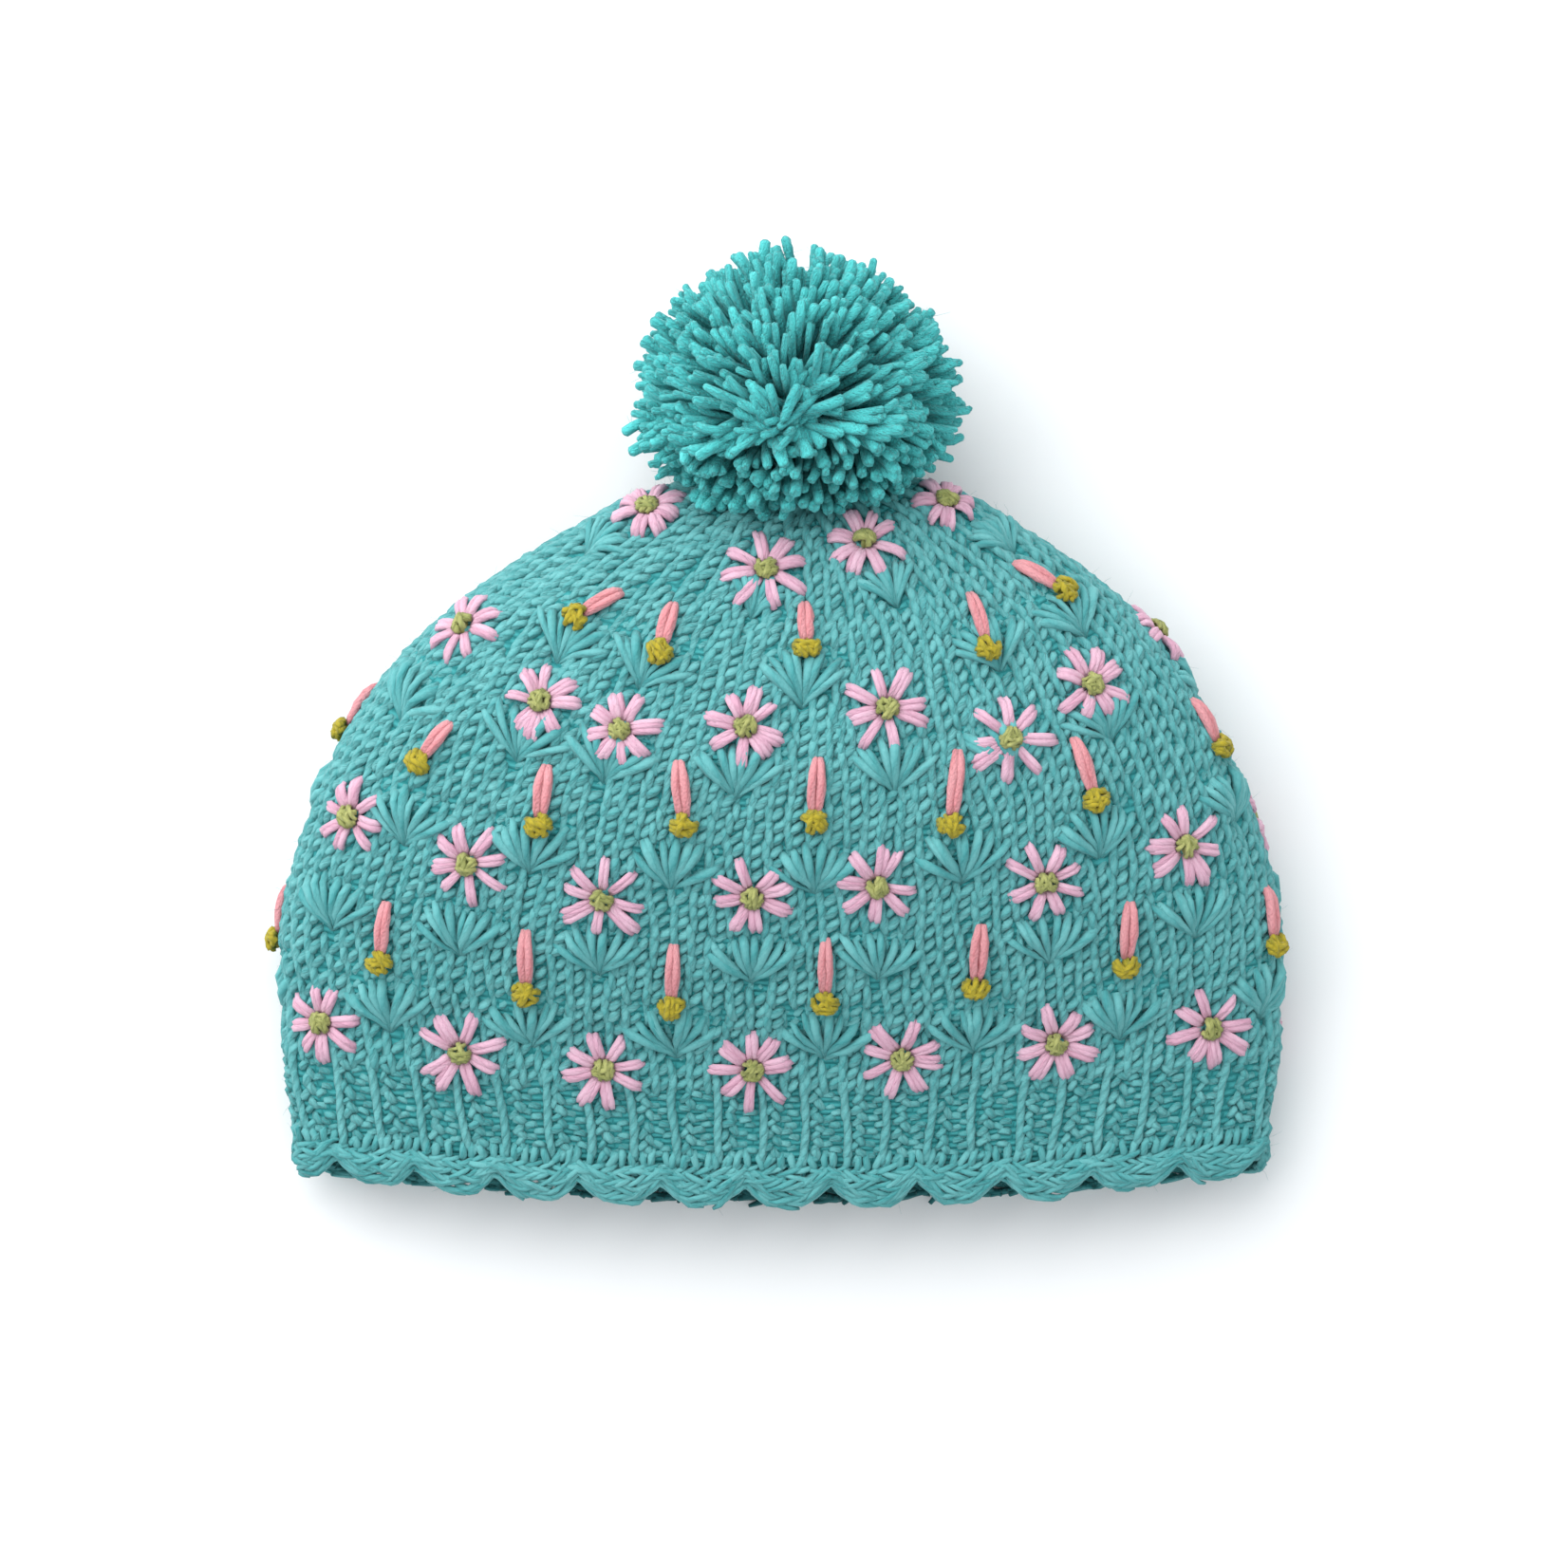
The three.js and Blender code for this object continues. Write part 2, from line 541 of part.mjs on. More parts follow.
const beanie = new THREE.Group();
beanie.add(named('crown', crownGeometry(), turquoiseYarn));
beanie.add(named('rib_band', bandGeometry(), turquoiseYarn));
beanie.add(named('scalloped_edging', edgingGeometry(), turquoiseYarn));
beanie.add(named('pompom', pompomGeometry(), pompomYarn));

const daisies = new THREE.Group();
DAISIES.forEach((row, i) => {
  daisies.add(named(`daisy_${String(i + 1).padStart(2, '0')}`, daisyGeometry(row), pinkYarn));
});
beanie.add(daisies);

const buds = new THREE.Group();
BUDS.forEach((row, i) => {
  buds.add(named(`bud_${String(i + 1).padStart(2, '0')}`, budGeometry(row), coralYarn));
});
beanie.add(buds);

export default beanie;
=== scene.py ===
import math

import bmesh
import bpy
import numpy as np
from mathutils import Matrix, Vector
from mathutils.bvhtree import BVHTree


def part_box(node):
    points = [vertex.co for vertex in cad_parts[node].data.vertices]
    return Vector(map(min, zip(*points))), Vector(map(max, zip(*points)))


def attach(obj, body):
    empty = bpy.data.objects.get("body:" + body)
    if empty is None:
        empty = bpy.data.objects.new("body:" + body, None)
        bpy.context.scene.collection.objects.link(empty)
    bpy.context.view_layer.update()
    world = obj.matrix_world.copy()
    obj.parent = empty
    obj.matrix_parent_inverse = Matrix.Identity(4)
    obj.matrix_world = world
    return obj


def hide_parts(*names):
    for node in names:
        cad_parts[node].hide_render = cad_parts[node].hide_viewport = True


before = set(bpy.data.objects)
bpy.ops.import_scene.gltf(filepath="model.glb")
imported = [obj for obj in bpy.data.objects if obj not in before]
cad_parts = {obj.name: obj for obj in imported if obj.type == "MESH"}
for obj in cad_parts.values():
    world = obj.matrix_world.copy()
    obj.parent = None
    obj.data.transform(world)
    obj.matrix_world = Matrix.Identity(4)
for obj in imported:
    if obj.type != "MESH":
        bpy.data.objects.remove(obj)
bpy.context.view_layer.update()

# Studio
# The hat lies on its back on a white table and the camera looks straight down on it.
# A broad lamp stands to the upper left, a weak one to the right, and a white room fills the shadows.

CAMERA_HEIGHT = 1.525
FRAME_WIDTH = 0.3882
FRAME_PLANE = 0.025
SENSOR = 36.0
FRAME_MIDDLE = (0.0007, -0.012)

camera = bpy.data.objects.new("camera", bpy.data.cameras.new("camera"))
camera.data.sensor_width = SENSOR
camera.data.lens = SENSOR * (CAMERA_HEIGHT - FRAME_PLANE) / FRAME_WIDTH
camera.location = (*FRAME_MIDDLE, CAMERA_HEIGHT)
bpy.context.collection.objects.link(camera)
bpy.context.scene.camera = camera
bpy.context.scene.view_settings.view_transform = "Standard"

ROOM_COLOUR = (0.93, 0.97, 1.0, 1)
ROOM_STRENGTH = 0.89

room = bpy.data.worlds.new("white room")
room.use_nodes = True
room.node_tree.nodes["Background"].inputs["Color"].default_value = ROOM_COLOUR
room.node_tree.nodes["Background"].inputs["Strength"].default_value = ROOM_STRENGTH
bpy.context.scene.world = room

# each lamp: name, place, size in metres, power in watts
LAMPS = [
    ("key lamp", (-0.8, 0.95, 1.0), 2.2, 43.0),
    ("side lamp", (0.9, 0.4, 0.9), 0.8, 2.0),
]


def lamp(name, place, size, power):
    data = bpy.data.lights.new(name, "AREA")
    data.size = size
    data.energy = power
    light = bpy.data.objects.new(name, data)
    light.location = place
    light.rotation_euler = (-Vector(place)).to_track_quat("-Z", "Y").to_euler()
    bpy.context.collection.objects.link(light)


for values in LAMPS:
    lamp(*values)


def new_material(name, roughness):
    material = bpy.data.materials.new(name)
    material.use_nodes = True
    shader = material.node_tree.nodes["Principled BSDF"]
    shader.inputs["Roughness"].default_value = roughness
    return material, material.node_tree, shader


def linked(name, mesh, material):
    piece = bpy.data.objects.new(name, mesh)
    mesh.materials.append(material)
    bpy.context.collection.objects.link(piece)
    return piece


def built(name, shape, material):
    """An object made of a finished bmesh."""
    mesh = bpy.data.meshes.new(name)
    shape.to_mesh(mesh)
    shape.free()
    return linked(name, mesh, material)


TABLE_SIZE = 6.0
TABLE_COLOUR = (0.82, 0.825, 0.83, 1)
TABLE_ROUGHNESS = 0.9

table_shape = bmesh.new()
bmesh.ops.create_grid(table_shape, x_segments=1, y_segments=1, size=TABLE_SIZE / 2)
white_table, _, table_shader = new_material("white table", TABLE_ROUGHNESS)
table_shader.inputs["Base Color"].default_value = TABLE_COLOUR
table = built("table", table_shape, white_table)

# Knitted wall
# The body is one tube of wool knitted in the round and closed at the tip. It lies flattened on the
# table, so each course of stitches is a ring that is flat underneath and rounded on top.

MM = 0.001
# places along the middle wale of the front, in millimetres from the lowest tip of the edging
EDGING_TOP = 15
BAND_TOP = 30
CROWN_TIP = 184
WALL = 4.0

# place; Y at the front, the folded sides and the back; half width and middle in X;
# height on top, where it is widest, and underneath; how square the section is on top and below
COURSES = np.array([
    (0.0, -118.5, -111.5, -120.5, 120.0, 0.0, 24.0, 12.0, 0.0, 2.9, 3.2),
    (15.0, -103.5, -97.5, -105.5, 122.0, 0.0, 28.0, 13.0, 0.0, 2.9, 3.2),
    (30.0, -88.5, -79.5, -90.5, 124.5, 0.0, 32.0, 14.0, 0.0, 2.8, 3.2),
    (51.5, -67.0, -52.0, -70.0, 125.0, 0.0, 42.0, 17.0, 0.0, 2.7, 3.2),
    (78.0, -40.5, -21.5, -44.5, 118.0, 0.0, 53.0, 21.0, 0.0, 2.5, 3.0),
    (96.5, -22.0, 1.5, -26.5, 108.0, 0.5, 59.0, 24.0, 0.0, 2.4, 2.9),
    (120.0, 1.5, 26.5, -3.5, 89.5, 2.0, 61.0, 27.0, 0.0, 2.2, 2.7),
    (140.0, 21.5, 43.0, 17.5, 69.0, 3.5, 58.0, 29.0, 1.5, 2.1, 2.4),
    (160.0, 41.0, 59.5, 42.0, 40.0, 5.0, 50.0, 31.0, 10.0, 2.0, 2.0),
    (173.0, 54.0, 65.0, 56.0, 21.5, 5.0, 42.5, 32.0, 21.0, 2.0, 2.0),
    (184.0, 66.5, 66.5, 66.5, 0.0, 5.0, 33.0, 33.0, 33.0, 2.0, 2.0),
])
SAG = 3.0
SAG_FULL_DEPTH = 15.0
LEAST_SIZE = 0.01
RING_SAMPLES = 720
SKIN_COLUMNS = 448
SKIN_STEP = 1.0


def course_values(at):
    """The columns of COURSES at one place, on a smooth curve through its rows."""
    places = COURSES[:, 0]
    values = COURSES[:, 1:]
    steps = np.diff(places)[:, None]
    slopes = np.diff(values, axis=0) / steps
    tangents = np.empty_like(values)
    tangents[0] = slopes[0]
    tangents[-1] = slopes[-1]
    tangents[1:-1] = (slopes[:-1] * steps[1:] + slopes[1:] * steps[:-1]) / (steps[1:] + steps[:-1])
    row = int(np.clip(np.searchsorted(places, at) - 1, 0, len(places) - 2))
    step = places[row + 1] - places[row]
    u = (at - places[row]) / step
    return ((2 * u**3 - 3 * u**2 + 1) * values[row] + (u**3 - 2 * u**2 + u) * step * tangents[row]
            + (3 * u**2 - 2 * u**3) * values[row + 1] + (u**3 - u**2) * step * tangents[row + 1])


def course_ring(at):
    """Points round one course in equal steps from the middle of the front, and its length."""
    front, side, back, half, middle, top, wide, floor, crisp_top, crisp_floor = course_values(at)
    half = max(half, LEAST_SIZE)
    floor = max(floor, 0.0)
    sag = SAG * min(1.0, max(0.0, (wide - floor) / SAG_FULL_DEPTH))
    angle = np.linspace(0, 2 * np.pi, RING_SAMPLES + 1)
    up = np.cos(angle)
    across = np.sin(angle)
    above = up >= 0
    height = np.where(above, max(top - wide, LEAST_SIZE), max(wide - floor + sag, LEAST_SIZE))
    crisp = np.where(above, crisp_top, crisp_floor)
    reach = (np.abs(across / half)**crisp + np.abs(up / height)**crisp)**(-1 / crisp)
    x = reach * across
    z = np.maximum(wide + reach * up, floor)
    share = np.clip(np.abs(x) / half, 0, 1)**2
    y = np.where(above, front + (side - front) * share, back + (side - back) * share)
    points = np.stack([middle + x, y, z], axis=1)
    lengths = np.r_[0, np.cumsum(np.linalg.norm(np.diff(points, axis=0), axis=1))]
    wanted = np.arange(SKIN_COLUMNS) / SKIN_COLUMNS * lengths[-1]
    ring = np.stack([np.interp(wanted, lengths, points[:, k]) for k in range(3)], axis=1)
    return ring, lengths[-1]


SKIN_AT = np.arange(0, CROWN_TIP + SKIN_STEP / 2, SKIN_STEP)
rings = [course_ring(at) for at in SKIN_AT]
SKIN = np.stack([ring for ring, _ in rings]) * MM
PERIMETER = np.array([length for _, length in rings])


def node_middle(node):
    low_corner, high_corner = (np.array(corner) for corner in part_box(node))
    return (low_corner + high_corner) / 2


def skin_place(point):
    """Share of a turn and height of the spot of the hat nearest to a point."""
    row, column = np.unravel_index(np.argmin(np.sum((SKIN - point)**2, axis=2)), SKIN.shape[:2])
    return column / SKIN_COLUMNS, float(SKIN_AT[row])


# each row of flowers round the hat: kind, first and last node seen from above from left to right,
# flowers in the whole row, height above the rim at the back, height of the fan below it
FLOWER_ROWS = [
    ("daisy", 1, 7, 14, 36.5, None), ("daisy", 8, 14, 14, 79.0, 58.3),
    ("daisy", 15, 21, 14, 119.0, 103.7), ("daisy", 22, 25, 9, 157.0, 148.5),
    ("bud", 1, 6, 14, 52.5, 38.6), ("bud", 7, 13, 14, 96.0, 80.2), ("bud", 14, 18, 8, 137.0, 126.7),
]


def flower_places():
    """All flowers: kind, node number or None where it is out of sight, turn, height, fan height."""
    places = []
    for kind, first, last, total, height, fan in FLOWER_ROWS:
        turns = []
        for number in range(first, last + 1):
            turn, at = skin_place(node_middle(f"{kind}_{number:02d}"))
            turns.append(turn if turn < 0.5 else turn - 1)
            places.append((kind, number, turn, at, fan))
        hidden = total - len(turns)
        start, end = max(turns), min(turns) + 1
        for k in range(hidden):
            turn = start + (end - start) * (k + 1) / (hidden + 1)
            places.append((kind, None, turn % 1.0, height, fan))
    return places


FLOWERS = flower_places()
# where each fan is gathered; below the lowest daisies there is none
FANS = [(turn, fan) for kind, number, turn, at, fan in FLOWERS if fan is not None]


def one_long(vectors):
    """The same directions with a length of one."""
    return vectors / np.maximum(np.linalg.norm(vectors, axis=-1, keepdims=True), 1e-12)


def outward_step(grid):
    """Unit directions out of the hat at each place of the grid."""
    directions = np.cross(np.roll(grid, -1, axis=1) - np.roll(grid, 1, axis=1), np.gradient(grid, axis=0))
    directions[-1] = (0, 1, 0)
    return one_long(directions)


def perimeter_at(at):
    return np.interp(at, SKIN_AT, PERIMETER)


# the lowest row of fans draws the fabric in all round: depth, place and half height in mm
LOW_VALLEY = 1.4
LOW_VALLEY_AT = 42.0
LOW_VALLEY_HALF = 6.0
# round each fan's dip, in mm: outwards, half width, place above the dip, half height. It is the dip,
# a crease below it, and the puff above it
DIP_RELIEF = [(-2.0, 3.2, 0.0, 3.0), (-0.9, 2.2, -8.0, 6.5), (0.9, 9.5, 8.5, 5.0)]


def drawn_in(turn, at):
    """How far the fabric stands out at each place, in mm."""
    girth = perimeter_at(at)
    relief = np.zeros(np.broadcast(turn, at).shape)
    relief -= LOW_VALLEY * np.exp(-((at - LOW_VALLEY_AT) / LOW_VALLEY_HALF)**2)
    for place, low in FANS:
        across = ((turn - place + 0.5) % 1.0 - 0.5) * girth
        for out, wide, rise, tall in DIP_RELIEF:
            relief += out * np.exp(-(across / wide)**2 - ((at - low - rise) / tall)**2)
    return relief


grid_turn = np.arange(SKIN_COLUMNS)[None] / SKIN_COLUMNS
SKIN = SKIN + outward_step(SKIN) * drawn_in(grid_turn, SKIN_AT[:, None])[..., None] * MM
SKIN[..., 2] = np.maximum(SKIN[..., 2], 0)
SKIN_NORMAL = outward_step(SKIN)


def skin_point(turn, at, lift):
    """Places on the lying hat: share of a turn from the front middle, mm above the rim, mm outwards."""
    turn, at, lift = np.broadcast_arrays(turn, at, lift)
    column = np.mod(turn, 1.0) * SKIN_COLUMNS
    row = np.clip(at / SKIN_STEP, 0, len(SKIN_AT) - 1.001)
    c0 = np.floor(column).astype(int)
    r0 = np.floor(row).astype(int)
    fc = (column - c0)[..., None]
    fr = (row - r0)[..., None]
    c0 %= SKIN_COLUMNS
    c1 = (c0 + 1) % SKIN_COLUMNS

    def mixed(grid):
        low = grid[r0, c0] * (1 - fc) + grid[r0, c1] * fc
        high = grid[r0 + 1, c0] * (1 - fc) + grid[r0 + 1, c1] * fc
        return low * (1 - fr) + high * fr

    normal = one_long(mixed(SKIN_NORMAL))
    past = (np.minimum(at, 0) + np.maximum(at - CROWN_TIP, 0))[..., None] * MM
    upward = one_long(SKIN[r0 + 1, c0] - SKIN[r0, c0])
    return mixed(SKIN) + normal * lift[..., None] * MM + upward * past, normal


def dressed(piece, slot, *nodes):
    """The piece rides on the hat's one body and stands for these solids."""
    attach(piece, "root")
    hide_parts(*nodes)


WALL_LIFT = -1.2
OUTER_FLOOR = 1.2
INNER_FLOOR = 4.6
WALL_COLUMNS = 168
WALL_ROWS = np.r_[np.linspace(11, 176, 55), 179, 181.5, 183.5]
# the inner wall ends this many rows below the tip, where the hat is too thin for it
ROWS_WITHOUT_INSIDE = 5
STITCHES_ROUND = 112
ROW = 3.05

wall = bmesh.new()
knit_map = wall.loops.layers.uv.new("knit")
wall_turn = wall.verts.layers.float.new("turn")
wall_height = wall.verts.layers.float.new("height")


def wall_ring(at, lift):
    turns = np.arange(WALL_COLUMNS) / WALL_COLUMNS
    points, _ = skin_point(turns, at, lift)
    points[:, 2] = np.maximum(points[:, 2], (OUTER_FLOOR if lift == WALL_LIFT else INNER_FLOOR) * MM)
    verts = [wall.verts.new(p) for p in points]
    for vert, turn in zip(verts, turns):
        vert[wall_turn] = turn
        vert[wall_height] = at
    return [wall.edges.new((verts[i], verts[(i + 1) % WALL_COLUMNS])) for i in range(WALL_COLUMNS)]


outer = [wall_ring(at, WALL_LIFT) for at in WALL_ROWS]
inner = [wall_ring(at, -WALL) for at in WALL_ROWS[:-ROWS_WITHOUT_INSIDE]]
for lower, upper in zip(outer, outer[1:]):
    bmesh.ops.bridge_loops(wall, edges=lower + upper)
for lower, upper in zip(inner, inner[1:]):
    bmesh.ops.bridge_loops(wall, edges=lower + upper)
bmesh.ops.bridge_loops(wall, edges=outer[0] + inner[0])
bmesh.ops.edgenet_fill(wall, edges=outer[-1])
bmesh.ops.edgenet_fill(wall, edges=inner[-1])
bmesh.ops.recalc_face_normals(wall, faces=wall.faces)
for face in wall.faces:
    face.smooth = True
    # a face that crosses the end of the round has corners near turn 1 and at turn 0
    seam = max(vert[wall_turn] for vert in face.verts) > 0.75
    for loop in face.loops:
        turn = loop.vert[wall_turn] + (1 if seam and loop.vert[wall_turn] < 0.25 else 0)
        loop[knit_map].uv = (turn * STITCHES_ROUND, loop.vert[wall_height] / ROW)


def feed(tree, socket, value):
    """Sets a socket to a value, or links it to another node's output."""
    if isinstance(value, (int, float, tuple)):
        socket.default_value = value
    else:
        tree.links.new(value, socket)


def maths(tree, operation, a, b=0.0):
    node = tree.nodes.new("ShaderNodeMath")
    node.operation = operation
    feed(tree, node.inputs[0], a)
    feed(tree, node.inputs[1], b)
    return node.outputs[0]


def wave(tree, value):
    """Half-round bumps, one for each whole number that the value passes."""
    return maths(tree, "ABSOLUTE", maths(tree, "SINE", maths(tree, "MULTIPLY", value, math.pi)))


def blend(tree, kind, factor, a, b):
    """A Mix node: kind is FLOAT or RGBA, and factor 0 gives a and factor 1 gives b."""
    node = tree.nodes.new("ShaderNodeMix")
    node.data_type = kind
    first, second, result = (2, 3, 0) if kind == "FLOAT" else (6, 7, 2)
    for index, value in ((0, factor), (first, a), (second, b)):
        feed(tree, node.inputs[index], value)
    return node.outputs[result]


def noise(tree, scale, detail, place=None):
    """Cloudy noise, on the piece's own place unless another is given."""
    if place is None:
        place = tree.nodes.new("ShaderNodeTexCoord").outputs["Object"]
    node = tree.nodes.new("ShaderNodeTexNoise")
    node.inputs["Scale"].default_value = scale
    node.inputs["Detail"].default_value = detail
    tree.links.new(place, node.inputs["Vector"])
    return node.outputs["Fac"]


def uv_place(tree, uv_map):
    """The two coordinates of a UV map."""
    uv = tree.nodes.new("ShaderNodeUVMap")
    uv.uv_map = uv_map
    place = tree.nodes.new("ShaderNodeSeparateXYZ")
    tree.links.new(uv.outputs["UV"], place.inputs[0])
    return place.outputs["X"], place.outputs["Y"]


def finish_wool(tree, shader, colour, height, depth):
    """Colour and relief, with the relief's depth in mm."""
    tree.links.new(colour, shader.inputs["Base Color"])
    relief = tree.nodes.new("ShaderNodeBump")
    relief.inputs["Strength"].default_value = 1.0
    relief.inputs["Distance"].default_value = depth * MM
    tree.links.new(height, relief.inputs["Height"])
    tree.links.new(relief.outputs["Normal"], shader.inputs["Normal"])


PURL_ROUGHNESS = 0.9
PURL_GLOSS = 0.25
PURL_DEPTH = 0.7
PURL_WOOL_SCALE = 900.0


def purl_material(name, light, dark):
    """The back of stocking stitch: rows of half-round bumps, each row set half a stitch along."""
    material, tree, shader = new_material(name, PURL_ROUGHNESS)
    shader.inputs["Specular IOR Level"].default_value = PURL_GLOSS
    stitches, rows = uv_place(tree, "knit")
    rows_up = maths(tree, "MULTIPLY", rows, 2.0)
    shift = maths(tree, "MULTIPLY", maths(tree, "FLOOR", rows_up), 0.5)
    across = maths(tree, "ADD", stitches, shift)
    rounded = maths(tree, "POWER", wave(tree, across), 0.5)
    height = maths(tree, "MULTIPLY", wave(tree, rows_up), rounded)
    wool = noise(tree, PURL_WOOL_SCALE, 4.0)
    height = maths(tree, "ADD", height, maths(tree, "MULTIPLY", wool, 0.5))
    # the colour follows the height: painted shade in the grooves between the bumps, lighter on their tops,
    # with random tone from the wool noise
    colour = blend(tree, "RGBA", maths(tree, "MULTIPLY", height, 0.7), dark, light)
    finish_wool(tree, shader, colour, height, PURL_DEPTH)
    return material


# the wall is coloured darker than the teal wool on it: painted shade in the gaps between the stitches and
# inside the hat
WALL_LIGHT = (0.06, 0.335, 0.345, 1)
WALL_DARK = (0.014, 0.2, 0.21, 1)
purl_wool = purl_material("purl side wool", WALL_LIGHT, WALL_DARK)
dressed(built("knit_wall", wall, purl_wool), "turquoise_yarn", "crown")

# Knitted stitches of the body
# Each stitch is a loop of thick wool whose two legs show: the left one stands nearly upright and
# joins the next into a cord, the right one leans as a short dash. The body narrows in 14 sectors.

REPEATS = 14
STITCHES = 8
NARROWING = 98.0
SHUFFLE = np.random.default_rng(11)

TEAL_LIGHT = (0.16, 0.45, 0.455, 1)
TEAL_DARK = (0.014, 0.225, 0.235, 1)
# painted shade: what is left of the colour where a strand lies deep between other parts, out of the light
PAINTED_SHADE = (0.01, 0.06, 0.065, 1)


def yarn_twist_group():
    """Twisted plies and loose fibres of yarn, read from a strand's own UV map: V goes round it and U
    along it in millimetres. It puts out a mask of the ply crowns, a fibre mask and a height."""
    group = bpy.data.node_groups.new("yarn twist", "ShaderNodeTree")
    for socket, start in (("Plies", 3.0), ("Twist", 0.35), ("Fibre", 0.5)):
        made = group.interface.new_socket(socket, in_out="INPUT", socket_type="NodeSocketFloat")
        made.default_value = start
    for socket in ("Ply", "Fibres", "Height"):
        group.interface.new_socket(socket, in_out="OUTPUT", socket_type="NodeSocketFloat")
    given = group.nodes.new("NodeGroupInput").outputs
    result = group.nodes.new("NodeGroupOutput").inputs

    along_it, round_it = uv_place(group, "strand")
    twisted = maths(group, "MULTIPLY", along_it, given["Twist"])
    plies_round = maths(group, "MULTIPLY", round_it, given["Plies"])
    ply = wave(group, maths(group, "ADD", twisted, plies_round))

    # the fibres are long and follow the twist
    long_way = maths(group, "MULTIPLY", along_it, 0.7)
    slanted = maths(group, "ADD", maths(group, "MULTIPLY", round_it, 9.0),
                    maths(group, "MULTIPLY", twisted, 3.0))
    stretched = group.nodes.new("ShaderNodeCombineXYZ")
    group.links.new(long_way, stretched.inputs[0])
    group.links.new(slanted, stretched.inputs[1])
    fibre = noise(group, 1.6, 3.0, stretched.outputs[0])
    streaks = maths(group, "MULTIPLY", maths(group, "SUBTRACT", fibre, 0.3), 2.4)
    height = maths(group, "ADD", ply, maths(group, "MULTIPLY", streaks, given["Fibre"]))
    for socket, value in (("Ply", ply), ("Fibres", streaks), ("Height", height)):
        group.links.new(value, result[socket])
    return group


YARN_TWIST = yarn_twist_group()
SHEEN_TINT = (0.9, 1.0, 1.0, 1)
SHEEN_ROUGHNESS = 0.45
YARN_GLOSS = 0.35
YARN_ROUGHNESS = 0.8
# shares in the shade of the yarn of the fibre streaks, the mottling and each strand's tint, which is random
# and on some pieces carries painted shade and light
STREAK_SHARE = 0.45
MOTTLE_SHARE = 0.25
TINT_SHARE = 0.35
# how fast a tint below zero darkens a strand with painted shade
PAINTED_SHADE_DEPTH = -0.6


def yarn_material(name, light, dark, plies=2.0, twist=0.1, fibre=0.6, bump=0.25, sheen=0.1):
    """Wool in one colour, with a painted highlight on the crown of each ply and painted shade between,
    mottled over the piece.
    """
    material, tree, shader = new_material(name, YARN_ROUGHNESS)
    shader.inputs["Sheen Weight"].default_value = sheen
    shader.inputs["Sheen Roughness"].default_value = SHEEN_ROUGHNESS
    shader.inputs["Sheen Tint"].default_value = SHEEN_TINT
    shader.inputs["Specular IOR Level"].default_value = YARN_GLOSS

    yarn = tree.nodes.new("ShaderNodeGroup")
    yarn.node_tree = YARN_TWIST
    yarn.inputs["Plies"].default_value = plies
    yarn.inputs["Twist"].default_value = twist
    yarn.inputs["Fibre"].default_value = fibre
    tint = tree.nodes.new("ShaderNodeAttribute")
    tint.attribute_name = "tint"

    # the ply crowns are painted lighter and the grooves between the plies darker: painted highlight and
    # painted shade
    shade = blend(tree, "FLOAT", STREAK_SHARE, yarn.outputs["Ply"], yarn.outputs["Fibres"])
    shade = blend(tree, "FLOAT", MOTTLE_SHARE, shade, noise(tree, 60.0, 4.0))
    shade = blend(tree, "FLOAT", TINT_SHARE, shade, tint.outputs["Fac"])
    # a strand with a tint below zero gets painted shade, deeper than the dark colour
    painted_shade = maths(tree, "MULTIPLY", tint.outputs["Fac"], PAINTED_SHADE_DEPTH)
    painted_shade.node.use_clamp = True
    wool = blend(tree, "RGBA", painted_shade, blend(tree, "RGBA", shade, dark, light), PAINTED_SHADE)
    finish_wool(tree, shader, wool, yarn.outputs["Height"], bump)
    return material


# each strand's own tint and twist, spread evenly over the range of 0 to 1
TINT_STEP = 0.7548
TWIST_STEP = 0.618
TWIST_SPREAD = 7.0
# the ring that rounds off an end: its size against the strand's, and its length on the UV map in mm
END_RING = 0.45
END_LENGTH = 0.4


